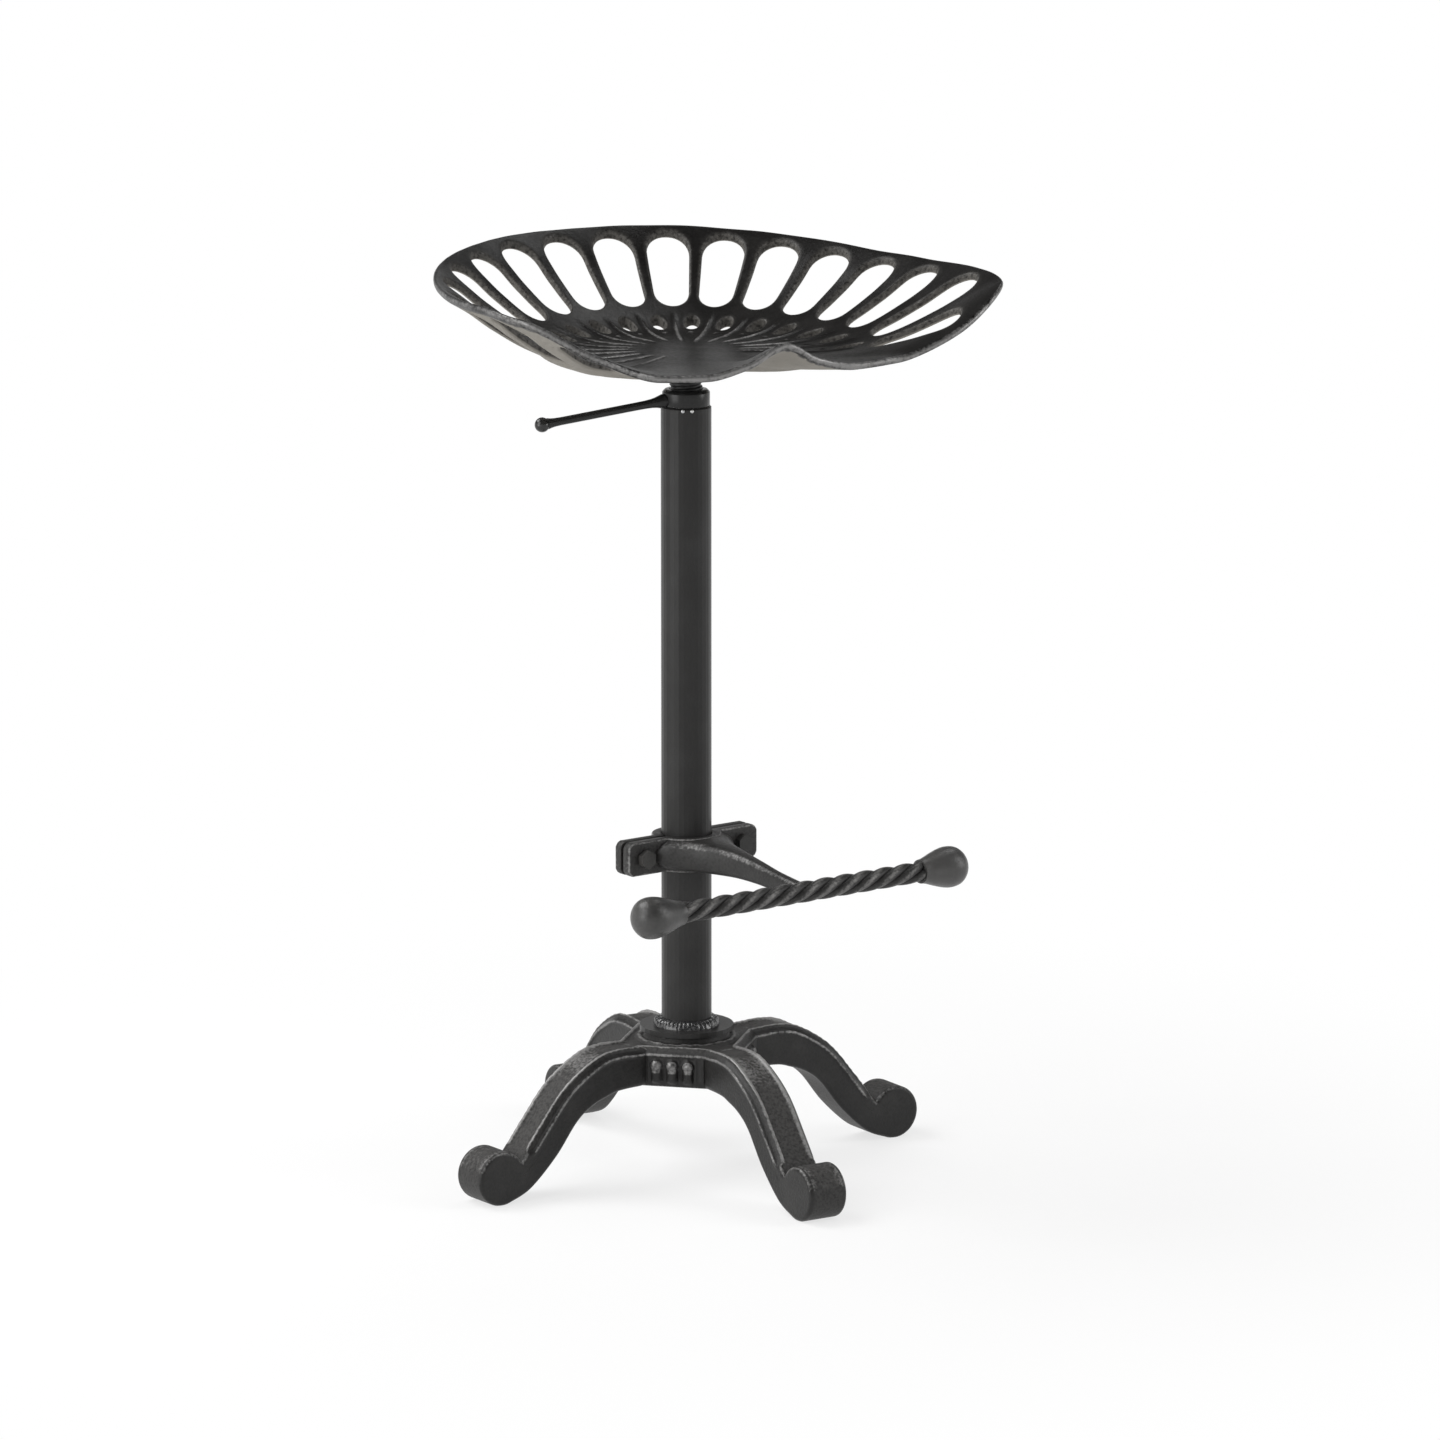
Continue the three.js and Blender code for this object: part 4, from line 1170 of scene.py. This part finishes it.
    def face_relief(self, across: Array, level: Array) -> Array:
        """How far the reeds, their bulbs and the fine ridges stand off a hub's face.

        A reed is a cylinder whose axis lies reed_sink of its radius behind the face and whose
        foot is a quarter ellipse, a bulb is a sphere as deep, and a fine ridge is a bell curve.
        """
        sunk = self.reed_sink * self.reed_radius
        low, high = self.reed_foot
        foot = np.sqrt(1 - np.clip((high - level) / (high - low), 0, 1) ** 2)
        relief = np.zeros(np.broadcast(across, level).shape)
        for middle in self.reeds:
            off = (across - middle) ** 2
            reed = np.sqrt(np.maximum(self.reed_radius**2 - off, 0)) - sunk
            reed = np.where(level < self.bulb_level, reed * foot, 0)
            ball = self.bulb_radius**2 - off - (level - self.bulb_level) ** 2
            relief = np.maximum(relief, np.maximum(reed, np.sqrt(np.maximum(ball, 0)) - sunk))
        for middle, height, width in self.ridges:
            ridge = height * np.exp(-(((np.abs(across) - middle) / width) ** 2))
            relief = np.maximum(relief, ridge * foot * (level < self.ridge_top))
        return relief

    def hub(self) -> Patch:
        """Hub as one closed grid: bore, neck, top, moulding, faces, underside, counterbore.

        A face is flat for face_half degrees on each side of its middle, and plain between
        two faces, where the legs stand.
        """
        half = self.face_half
        angle = np.concatenate([np.linspace(-half, half, 73), [35, 40, 45, 50, 55]])
        off = np.minimum(np.abs(angle), 90 - np.abs(angle))
        kept = np.tile(1 - ramp(off, half - 0.5, 35), 4)
        ratio = np.tile(1 / np.cos(np.radians(np.minimum(off, half))), 4)
        across = np.tile(self.face_reach * np.tan(np.radians(np.clip(angle, -half, half))), 4)
        bearing = np.radians(np.concatenate([angle + 45 + 90 * k for k in range(4)]) + self.turn)
        wave = 0.3 * np.sin(9 * bearing + 1) + 0.25 * np.sin(23 * bearing) - 0.2
        flat = np.ones(len(bearing))
        rows: list[list[Array]] = []

        def add(*levels: Union[Array, float]) -> None:
            """Adds a row with its reach, level, wear and rawness, each a number or an array."""
            rows.append([level * flat for level in levels])

        neck, top = self.neck_radius, self.neck_top
        for reach, level, worn, raw, waved in (
                (self.bore, top, 0, 0, 0), (neck - 1.2, top, 0, 0, 0),
                (neck, top - 0.9, 0.4, 0.3, 0), (neck, 110.2, 0.1, 0.5, 0),
                (neck + 0.3, 108.6, 0, 0.6, 0), (neck + 1.2, 107.2, 0, 0.6, 0),
                (neck + 2.4, 107.0, 0.1, 0.6, 0.4), (neck + 3.3, 107.7, 0.5, 0.6, 0.8),
                (neck + 4.5, 108.3, 0.8, 0.6, 1), (neck + 5.8, 108.4, 0.8, 0.6, 1),
                (neck + 7.2, 107.8, 0.5, 0.6, 0.8), (neck + 8.3, 106.7, 0.1, 0.6, 0.3),
                (neck + 9.3, 106.1, 0, 0.6, 0)):
            add(reach, level + waved * wave, worn, raw)
        keys = zip(self.moulded[: self.hub_keys], self.moulded_wear[: self.hub_keys])
        for (inwards, lift), worn in reversed(list(keys)):
            height = lift * kept - (1 - kept) if lift > -1 else lift
            height = height + (0.5 * wave * kept if lift > 0 else 0)
            relief = self.face_relief(across, self.rim_level + lift * flat) * (lift < -4)
            add((self.face_reach - inwards * kept + relief * kept) * ratio,
                self.rim_level + height, worn, 0.7 if lift > -2 else 0.25)
        for level in np.linspace(97.2, 78, self.face_rows):
            relief = self.face_relief(across, level * flat)
            add((self.face_reach + relief * kept) * ratio, level,
                np.clip(relief / 3.2, 0, 0.72) * (0.5 + 0.5 * (level > 88)), 0.1)
        for inwards, level, worn in ((0.3, 77.0, 0.6), (1.3, 76.2, 0.6), (2.8, 76.0, 0.2)):
            add((self.face_reach - inwards) * ratio, level, worn, 0.3)
        for reach, level in ((self.counterbore + 0.5, 76.0), (self.counterbore, 76.5),
                             (self.counterbore, self.web_foot), (self.bore, self.web_foot)):
            add(reach, level, 0.0, 0.5)
        reach, level, wear, raw = np.array(rows).transpose(1, 0, 2)
        return patch(round_grid(reach, bearing, level), wear, raw, close_rows=True,
                     close_columns=True)

    def build(self, finishes: Finishes) -> None:
        """Makes the whole casting."""
        patches = [self.hub()] + [self.leg(bearing) for bearing in self.bearings]
        make_piece("base_castings", patches, finishes.iron, Body.BASE,
                   ["base_casting"], crease=55)


@dataclass
class Column:
    """Weld bead at the tube's foot, threaded spindle in its mouth and two pins under the ring."""

    radius: float = 20.0
    weld_foot: float = 116.8
    weld_leg: float = 6.4
    spindle_radius: float = 13.0
    spindle_foot: float = 355.0
    neck_radius: float = 8.0
    thread_foot: float = 373.6
    thread_top: float = 648.6
    spindle_top: float = 653.9
    thread_pitch: float = 5.0
    thread_depth: float = 1.3
    groove_floor: float = 0.14
    groove_side: float = 0.2
    runout: tuple = (3.0, 4.0)
    thread_sides: int = 48
    weld_sides: int = 480
    pin_radius: float = 1.5
    pin_level: float = 613.4
    pin_bearings: tuple = (-125.0, -104.3)

    def weld(self) -> Patch:
        """Convex bead with ripples: a chord between its two toes, bulged by a half sine."""
        bearing = np.linspace(0, 2 * np.pi, self.weld_sides, endpoint=False)
        share = np.linspace(0, 1, 13)[:, None]
        bulge = np.sin(np.pi * share)
        ripple = np.abs(np.sin(20 * bearing + 1.2 * np.sin(3 * bearing)))
        lumps = 0.35 * np.sin(7 * bearing + 2) + 0.25 * np.sin(13 * bearing)
        out = (1.5 + 0.55 * ripple + 0.5 * lumps) * bulge
        leg = self.weld_leg + 0.35 * lumps
        reach = self.radius + leg * (1 - share) + 0.7 * out
        level = self.weld_foot + leg * share + 0.7 * out
        inner = self.radius - 0.2
        reach = np.vstack([reach, inner + 0 * bearing, inner + 0 * bearing])
        level = np.vstack([level, level[-1], self.weld_foot + 0 * bearing])
        return patch(round_grid(reach, bearing, level), close_rows=True, close_columns=True)

    def spindle(self) -> Patch:
        """Lift screw: its radius falls in a groove with sloped sides that climbs as a helix.

        groove_floor and groove_side are shares of the thread's pitch, and the groove fades
        out at both ends.
        """
        bearing = np.linspace(0, 2 * np.pi, self.thread_sides, endpoint=False)
        level = np.arange(self.thread_foot, self.thread_top, 0.5)[:, None] + 0 * bearing
        phase = (level / self.thread_pitch - bearing / (2 * np.pi)) % 1.0
        groove = 1 - np.clip((np.abs(phase - 0.5) - self.groove_floor) / self.groove_side, 0, 1)
        low, high = self.runout
        ends = np.minimum(ramp(level, self.thread_foot, self.thread_foot + low),
                          1 - ramp(level, self.thread_top - high, self.thread_top))
        reach = self.spindle_radius - self.thread_depth * groove * ends
        below = [(0, self.spindle_foot), (self.neck_radius, self.spindle_foot),
                 (self.neck_radius, self.thread_foot)]
        above = [(self.spindle_radius, self.spindle_top), (0, self.spindle_top)]
        rows = [lathe(below, self.thread_sides), round_grid(reach, bearing, level),
                lathe(above, self.thread_sides)]
        return patch(np.concatenate(rows), close_columns=True)

    def pin(self, bearing: float) -> Patch:
        """Low dome on the tube's side."""
        r = self.pin_radius
        profile = [(0, -0.5), (r, -0.5), (r, 0.2), (0.8 * r, 0.6), (0.4 * r, 0.8), (0, 0.85)]
        dome = lathe(profile, 16)
        upright = np.stack([self.radius + dome[..., 2], dome[..., 0],
                            self.pin_level + dome[..., 1]], axis=-1)
        return patch(turned(upright, bearing), close_columns=True)

    def build(self, finishes: Finishes) -> None:
        """Makes the bead, the spindle and the pins."""
        make_piece("weld_bead", [self.weld()], finishes.weld, Body.BASE,
                   ["column_weld"])
        make_piece("lift_screw", [self.spindle()], finishes.screw, Body.SEAT,
                   ["spindle"], crease=30)
        pins = [self.pin(bearing) for bearing in self.pin_bearings]
        make_piece("column_pins", pins, finishes.zinc, Body.BASE)


@dataclass
class LockLever:
    """Turned lock ring and the lever with its flared root and its ball."""

    ring_radius: float = 18.8
    ring_bore: float = 13.3
    ring_foot: float = 615.3
    ring_top: float = 628.3
    bevel: float = 2.2
    bearing: float = 177.0
    droop: float = 6.3
    reach: float = 124.0
    rod_radius: float = 3.2
    ball_radius: float = 5.9
    ball_seat: float = 1.9
    tube_reach: float = 20.8

    def ring(self) -> Patch:
        """Ring with a bevelled upper edge and a small lower one."""
        r, low, high, b = self.ring_radius, self.ring_foot, self.ring_top, self.bevel
        profile = [(self.ring_bore, low), (r - 0.5, low), (r - 0.15, low + 0.15), (r, low + 0.5),
                   (r, high - b - 0.3), (r - 0.12, high - b + 0.1), (r - b + 0.25, high - 0.2),
                   (r - b - 0.3, high), (self.ring_bore, high)]
        return patch(lathe(profile, 120), [[0], [0], [0], [0], [0], [0.5], [0.5], [0], [0]],
                     close_rows=True, close_columns=True)

    def along(self, points: Array) -> Array:
        """Moves what was turned round +Z out along the lever."""
        tilt = math.radians(self.droop)
        middle = (self.ring_foot + self.ring_top) / 2
        out = points[..., 2] * math.cos(tilt) - points[..., 0] * math.sin(tilt)
        level = middle - points[..., 2] * math.sin(tilt) - points[..., 0] * math.cos(tilt)
        return turned(np.stack([out, points[..., 1], level], axis=-1), self.bearing)

    def rod(self) -> Patch:
        """Rod with a flare at the ring, kept above the tube's mouth, and one at the ball."""
        end = self.reach - self.ball_radius + self.ball_seat
        r = self.rod_radius
        profile = [(0, 15.0), (5.7, 15.0), (5.9, 19.0), (5.6, 21.0), (4.9, 23.5), (4.1, 26.5),
                   (3.6, 30.0), (3.3, 35.0), (r, 42.0), (r, 70.0), (r, end - 12), (3.4, end - 7),
                   (3.8, end - 3.5), (4.4, end - 1.0), (4.4, end), (0, end)]
        grid = self.along(lathe(profile, 40))
        above_tube = np.hypot(grid[..., 0], grid[..., 1]) < self.tube_reach
        grid[..., 2] = np.where(above_tube, np.maximum(grid[..., 2], self.ring_foot), grid[..., 2])
        return patch(grid, close_columns=True)

    def ball(self) -> Patch:
        """Ball whose root is flat against the rod."""
        angle = np.radians(np.linspace(132, 0, 30))
        profile = [(0, self.reach - self.ball_radius + self.ball_seat + 0.1)] + [
            (self.ball_radius * math.sin(a), self.reach + self.ball_radius * math.cos(a))
            for a in angle]
        return patch(self.along(lathe(profile, 48)), close_columns=True)

    def build(self, finishes: Finishes) -> None:
        """Makes ring, rod and ball."""
        for name, part, finish, slot, node in (
                ("lock_collar", self.ring(), finishes.collar, Slot.BLACK_STEEL, "lock_ring"),
                ("lever_arm", self.rod(), finishes.collar, Slot.BLACK_STEEL, "lever_rod"),
                ("lever_knob", self.ball(), finishes.ball, Slot.BLACK_PLASTIC, "lever_ball")):
            make_piece(name, [part], finish, Body.LOCK, [node], crease=38)


@dataclass
class Footrest:
    """Split clamp with a cast arm that carries a twisted bar between two egg-shaped knobs.

    It is drawn with the arm towards -Y and then turned. arm_shares has, for shares of
    forward, the arm's half width, half height and rise as shares of half_height.
    knob_shares has a knob's radius for shares of its length, from the bar.
    """

    turn: float = 9.6
    level: float = 259.0
    half_height: float = 13.5
    bore: float = 20.3
    outer: float = 27.8
    ear_reach: float = 64.0
    ear_back: float = 1.5
    ear_front: float = 9.5
    corner: float = 4.5
    fillet: float = 1.8
    blend: float = 5.0
    clamp_steps: int = 320
    clamp_wear: tuple = (0, 0, 0.1, 0.3, 0.4, 0.5, 0.75, 0.7, 0.35, 0.1, 0.1, 0.1)
    forward: float = 148.0
    arm_root: float = 24.0
    arm_squareness: float = 0.75
    bar_level: float = 250.5
    bar_half: float = 118.0
    crest: float = 8.4
    groove: float = 2.6
    twist: float = 80.0
    strand_power: float = 0.7
    tenon: float = 12.0
    tenon_share: float = 0.65
    knob_radius: float = 16.4
    knob_length: float = 44.0
    arm_shares: tuple = (
        (0.065, 2.8, 0.985, 0), (0.12, 2.5, 0.985, 0), (0.18, 2, 0.975, 0), (0.25, 1.5, 0.95, 0.01),
        (0.34, 1.08, 0.9, 0), (0.46, 0.72, 0.8, -0.04), (0.62, 0.5, 0.68, -0.18),
        (0.8, 0.4, 0.57, -0.42), (0.985, 0.37, 0.52, -0.62))
    knob_shares: tuple = ((0, 0.58), (0.12, 0.64), (0.3, 0.8), (0.48, 0.94), (0.64, 1),
                          (0.8, 0.93), (0.92, 0.68), (0.98, 0.36), (1, 0))

    def half_clamp(self, side: float) -> Patch:
        """Half of the clamp: a half ring between two ears, with rounded edges.

        Rows run from the middle of its inner face over the edge to the middle of its outer
        face. Where ring and ear meet outside, a parabola rounds the corner.

        Args:
            side: -1 for the front half and 1 for the rear one.

        Returns:
            The closed surface.
        """
        reach, half, cut = self.ear_reach, self.half_height, self.corner
        corners = [(reach, 0), (reach, half - cut), (reach - 0.4 * cut, half - 0.35 * cut),
                   (reach - cut, half), (cut - reach, half), (0.4 * cut - reach, half - 0.35 * cut),
                   (-reach, half - cut)]
        whole = corners + [(x, -z) for x, z in corners[::-1]]
        loop = respace(np.array(whole, float), self.clamp_steps)[:-1]
        normal = loop_normals(loop)
        f = self.fillet
        rows = [(0.5, 0.0, 0, 0.0), (0.5, 0.0, 0, 0.5), (0.5, 0.0, 0, 1.0), (0.15, 0.15, 0, 1.0),
                (0.0, 0.5, 0, 1.0), (0.0, -f, 1, 1.0), (0.13 * f, -0.5 * f, 1, 1.0),
                (0.5 * f, -0.13 * f, 1, 1.0), (f, 0.0, 1, 1.0), (f, 0.0, 1, 0.66),
                (f, 0.0, 1, 0.33), (f, 0.0, 1, 0.0)]
        points = []
        for inset, depth, front, squash in rows:
            plan = loop - normal * inset
            x, z = plan[:, 0] * (0.98 + 0.02 * squash), plan[:, 1] * squash
            if front:
                shell = np.sqrt(np.maximum(self.outer**2 - x**2, 0))
                near = np.maximum(self.blend - np.abs(shell - self.ear_front), 0) / self.blend
                y = np.maximum(shell, self.ear_front) + near**2 * self.blend / 4
            else:
                y = np.maximum(np.sqrt(np.maximum(self.bore**2 - x**2, 0)), self.ear_back)
            points.append(np.stack([x, side * (y + depth), self.level + z], axis=-1))
        wear = np.array(self.clamp_wear)[:, None]
        return patch(turned(np.array(points), self.turn), wear, 0.4, close_columns=True)

    def arm(self) -> Patch:
        """Arm whose sections narrow from a web as wide as the clamp to an upright blade.

        A section is a rounded oblong: |cos a| and |sin a| to the power of arm_squareness,
        with their signs. The root lies inside the clamp's wall, clear of the tube.
        """
        shares = np.array(self.arm_shares, float)
        reach = np.concatenate([[5.5], np.linspace(9.6, 145.5, 70)])[:, None]
        share = np.clip(reach / self.forward, shares[0, 0], shares[-1, 0])
        wide, high, rise = (monotone(shares[:, 0], column, share, False) * self.half_height
                            for column in shares.T[1:])
        angle = 2 * np.pi * (np.arange(64) + 0.5) / 64
        across, up = (np.sign(side) * np.abs(side) ** self.arm_squareness
                      for side in (np.cos(angle), np.sin(angle)))
        x = across * wide
        y = np.maximum(reach + 0 * x, np.sqrt(np.maximum(self.arm_root**2 - x**2, 0)))
        z = self.level + rise + up * high
        grid = np.stack([x, -y, z], axis=-1)
        ends = [0 * grid[:1] + (0, -self.arm_root, self.level), grid,
                0 * grid[:1] + grid[-1].mean(axis=0)]
        # Wear along the arm's upper corners, which also stands in as a painted highlight on its top
        # ridge.
        edge = np.exp(-(((np.abs(np.sin(2 * angle)) - 1) / 0.35) ** 2)) * (np.sin(angle) > 0)
        wear = np.concatenate([[edge], np.tile(edge, (len(grid), 1)), [edge]]) * 0.6
        return patch(turned(np.concatenate(ends), self.turn), wear, 0.3, close_columns=True)

    def bar(self) -> Patch:
        """Twisted bar of four strands with a round tenon at each end.

        The radius at angle a is crest - groove x (1 - |cos 2a|^strand_power).
        """
        angle = np.linspace(0, 2 * np.pi, 64, endpoint=False)
        x = np.linspace(-self.bar_half, self.bar_half, 237)[:, None]
        strand = np.abs(np.cos(2 * angle)) ** self.strand_power
        radius = self.crest - self.groove * (1 - strand) + 0 * x
        wound = angle - 2 * np.pi * x / self.twist
        end = self.bar_half + self.tenon
        grid = np.stack([x + 0 * radius, radius * np.cos(wound), radius * np.sin(wound)], axis=-1)
        narrowed = (1, self.tenon_share, self.tenon_share)
        first, last = grid[:1] * narrowed, grid[-1:] * narrowed
        tips = [first * 0 + (-end, 0, 0), first * (0, 1, 1) + (-end, 0, 0), first,
                grid, last, last * (0, 1, 1) + (end, 0, 0), last * 0 + (end, 0, 0)]
        grid = np.concatenate(tips) + (0, -self.forward, self.bar_level)
        wear = np.clip(strand * 1.5 - 0.75, 0, 0.75)
        return patch(turned(grid, self.turn), wear, 0.3, close_columns=True)

    def knob(self, side: float) -> Patch:
        """Egg-shaped knob at one end of the bar."""
        curve = through(np.array(self.knob_shares, float), 6)
        profile = np.stack([curve[:, 1] * self.knob_radius, 0.3 + curve[:, 0] * self.knob_length],
                           axis=1)
        profile = np.vstack([[(0, 0.3), (profile[0, 0] - 0.8, 0.3)], profile])
        turn = lathe(profile, 56)
        grid = np.stack([side * (self.bar_half + turn[..., 2]), turn[..., 0] - self.forward,
                         turn[..., 1] + self.bar_level], axis=-1)
        return patch(turned(grid, self.turn), 0.25, 0.2, close_columns=True)

    def build(self, finishes: Finishes) -> None:
        """Makes clamp, arm, bar and knobs."""
        make_piece("footrest_bracket", [self.half_clamp(-1), self.arm()], finishes.iron,
                   Body.FOOTREST, ["footrest_arm"], crease=55)
        make_piece("footrest_clamp_back", [self.half_clamp(1)], finishes.iron,
                   Body.FOOTREST, ["clamp_rear"], crease=55)
        make_piece("footrest_twist", [self.bar()], finishes.bar, Body.FOOTREST,
                   ["footrest_bar"], crease=70)
        # The right knob takes the lighter copy of the knob iron as painted light; the left one
        # takes the plain knob iron.
        for name, side, finish in (("left", -1.0, finishes.knob),
                                   ("right", 1.0, finishes.painted_lit_knob)):
            make_piece(f"footrest_egg_{name}", [self.knob(side)], finish, Body.FOOTREST,
                       [f"footrest_knob_{name}"], crease=50)


@dataclass
class Studio:
    """White floor and background, soft lamps and the camera of the photograph, in metres.

    A row of lamps has what the lamp method asks for, in its order.
    """

    azimuth: float = math.radians(-28)
    pitch: float = math.radians(11.6)
    distance: float = 6.125
    focal: float = 193.7
    sensor: float = 36.0
    target: tuple = (0.02349, -0.01249, 0.3632)
    middle: tuple = (0.0, 0.0, 0.4)
    white: tuple = (1, 1, 1, 1)
    world_strength: float = 0.28
    ceiling: float = 0.1
    wall_heights: tuple = (0.05, 0.4)
    floor_rings: tuple = (0.0, 0.6, 1.5, 4.0, 14.0)
    floor_level: float = -0.0004
    floor_colour: tuple = (0.9, 0.9, 0.9, 1)
    shadow_reach: tuple = (0.35, 0.9)
    shadow_glow: float = 0.72
    lamps: tuple = (("key_lamp", -56, 18, 2.4, (1.5, 2.8), 40),
                    ("side_lamp", -104, 50, 2.6, (1.6, 1.6), 46),
                    ("back_lamp", 150, 55, 2.8, (1.0, 1.0), 9),
                    ("right_lamp", 84, 22, 2.8, (1.0, 2.2), 27))

    def camera(self) -> None:
        """Camera at the photograph's angle, aimed so that no shift is needed."""
        data = bpy.data.cameras.new("studio_camera")
        data.lens, data.sensor_width = self.focal, self.sensor
        data.clip_start, data.clip_end = 0.1, 60.0
        camera = add_object("studio_camera", data)
        self.aim(camera, self.azimuth, self.pitch, self.distance, self.target)
        bpy.context.scene.camera = camera

    def lamp(self, name: str, azimuth: float, elevation: float, distance: float,
             size: tuple, power: float) -> None:
        """Area lamp at angles from the camera's side, turned to the stool's middle.

        Args:
            name: Name of the lamp.
            azimuth: Degrees to the right of the camera, seen from the stool.
            elevation: Degrees above the horizon.
            distance: Metres from the stool's middle.
            size: Width and height in metres.
            power: Watts.
        """
        data = bpy.data.lights.new(name, "AREA")
        data.shape, data.size, data.size_y = "RECTANGLE", *size
        data.energy = power
        self.aim(add_object(name, data), self.azimuth + math.radians(azimuth),
                 math.radians(elevation), distance, self.middle)

    def aim(self, thing: bpy.types.Object, turn: float, rise: float, distance: float,
            target: tuple) -> None:
        """Moves a camera or a lamp to angles round a target and points it there.

        Args:
            thing: The camera or lamp.
            turn: Radians round +Z, where 0 looks along +Y.
            rise: Radians above the horizon.
            distance: Metres from the target.
            target: The point that it looks at, in metres.
        """
        back = Vector((math.sin(turn) * math.cos(rise), -math.cos(turn) * math.cos(rise),
                       math.sin(rise)))
        thing.location = Vector(target) + back * distance
        thing.rotation_euler = (-back).to_track_quat("-Z", "Y").to_euler()

    def seen(self, nodes: Nodes) -> tuple[Signal, Signal]:
        """Rays that see the background as white.

        Args:
            nodes: Tree of the floor or the world.

        Returns:
            Camera rays, and the sum of glossy and transmission rays.
        """
        camera, glossy, through_glass = (
            nodes.add("ShaderNodeLightPath", output=name)
            for name in ("Is Camera Ray", "Is Glossy Ray", "Is Transmission Ray"))
        return camera, glossy + through_glass

    def world(self) -> None:
        """World that is white to the camera, lights evenly and is mirrored as a studio.

        The mirrored studio's strength falls from 1 near the horizon to ceiling overhead.
        """
        world = bpy.data.worlds.new("studio_world")
        world.use_nodes = True
        nodes = Nodes(world.node_tree)
        camera, mirrored = self.seen(nodes)
        way = nodes.add("ShaderNodeTexCoord", output="Generated")
        height = nodes.add("ShaderNodeSeparateXYZ", None, {0: way}, 2)
        dark = height.between(*self.wall_heights)
        studio = 1.0 - dark * (1 - self.ceiling)
        light_on = self.world_strength + mirrored * (studio - self.world_strength)
        strength = light_on + camera * (1.0 - light_on)
        light = nodes.add("ShaderNodeBackground", None, {"Color": self.white, "Strength": strength})
        nodes.end("ShaderNodeOutputWorld", light)
        bpy.context.scene.world = world

    def floor(self) -> None:
        """Round floor that glows white to the camera and keeps a faint shadow near the stool."""
        turn = np.linspace(0, 2 * np.pi, 96, endpoint=False)
        ring = np.array(self.floor_rings)[:, None]
        part = patch(round_grid(ring, turn, 0 * ring * turn + self.floor_level),
                     close_columns=True)
        mesh = bpy.data.meshes.new("studio_floor")
        mesh.from_pydata(part.points, [], part.quads.tolist())
        weld_points(mesh, 1e-6)
        shading = Shading("studio_floor")
        glow = shading.add("ShaderNodeEmission", None, {"Color": self.white, "Strength": 1.0})
        matt = shading.add("ShaderNodeBsdfDiffuse", None, {"Color": self.floor_colour})
        reach = shading.add("ShaderNodeVectorMath", {"operation": "LENGTH"},
                            {0: shading.place}, "Value")
        camera, mirrored = self.seen(shading)
        clear = reach.between(*self.shadow_reach)
        share = (camera + mirrored) * (self.shadow_glow + (1 - self.shadow_glow) * clear)
        both = shading.add("ShaderNodeMixShader", None, {0: share, 1: matt, 2: glow})
        shading.end("ShaderNodeOutputMaterial", both)
        mesh.materials.append(shading.material)
        add_object("studio_floor", mesh)

    def build(self) -> None:
        """Sets up the whole studio."""
        bpy.context.scene.view_settings.view_transform = "Standard"
        self.camera()
        self.world()
        self.floor()
        for lamp in self.lamps:
            self.lamp(*lamp)


def dress_nodes(finishes: Finishes) -> None:
    """Gives every CAD node its finish, the ones that a piece replaces too."""
    groups = {
        finishes.iron: ("base_casting", "footrest_arm", "clamp_rear", "footrest_bar"),
        finishes.seat: ("seat_pan",),
        finishes.knob: ("footrest_knob_left", "footrest_knob_right"),
        finishes.tube: ("column_tube", "column_flange", "column_plug", "spindle", "seat_plate"),
        finishes.bolt: ("clamp_bolt_left", "clamp_bolt_right", "clamp_nut_left",
                        "clamp_nut_right"),
        finishes.collar: ("lock_ring", "lever_rod"),
        finishes.ball: ("lever_ball",),
        finishes.weld: ("column_weld",),
        finishes.zinc: ("base_bolt", "base_washer", "column_nut", "guide_washer", "guide_screw",
                        "seat_screw_1", "seat_screw_2", "seat_screw_3", "seat_screw_4"),
        finishes.nylon: ("guide_bush",),
    }
    for material, nodes in groups.items():
        for node in nodes:
            dress(node, material)


def main() -> None:
    """Builds the studio and dresses the stool."""
    logging.basicConfig(level=logging.INFO, format="%(name)s: %(message)s")
    Studio().build()
    finishes = Finishes()
    dress_nodes(finishes)
    for part in (SeatPan(), BaseCasting(), Column(), LockLever(), Footrest()):
        part.build(finishes)


if __name__ == "__main__":
    main()
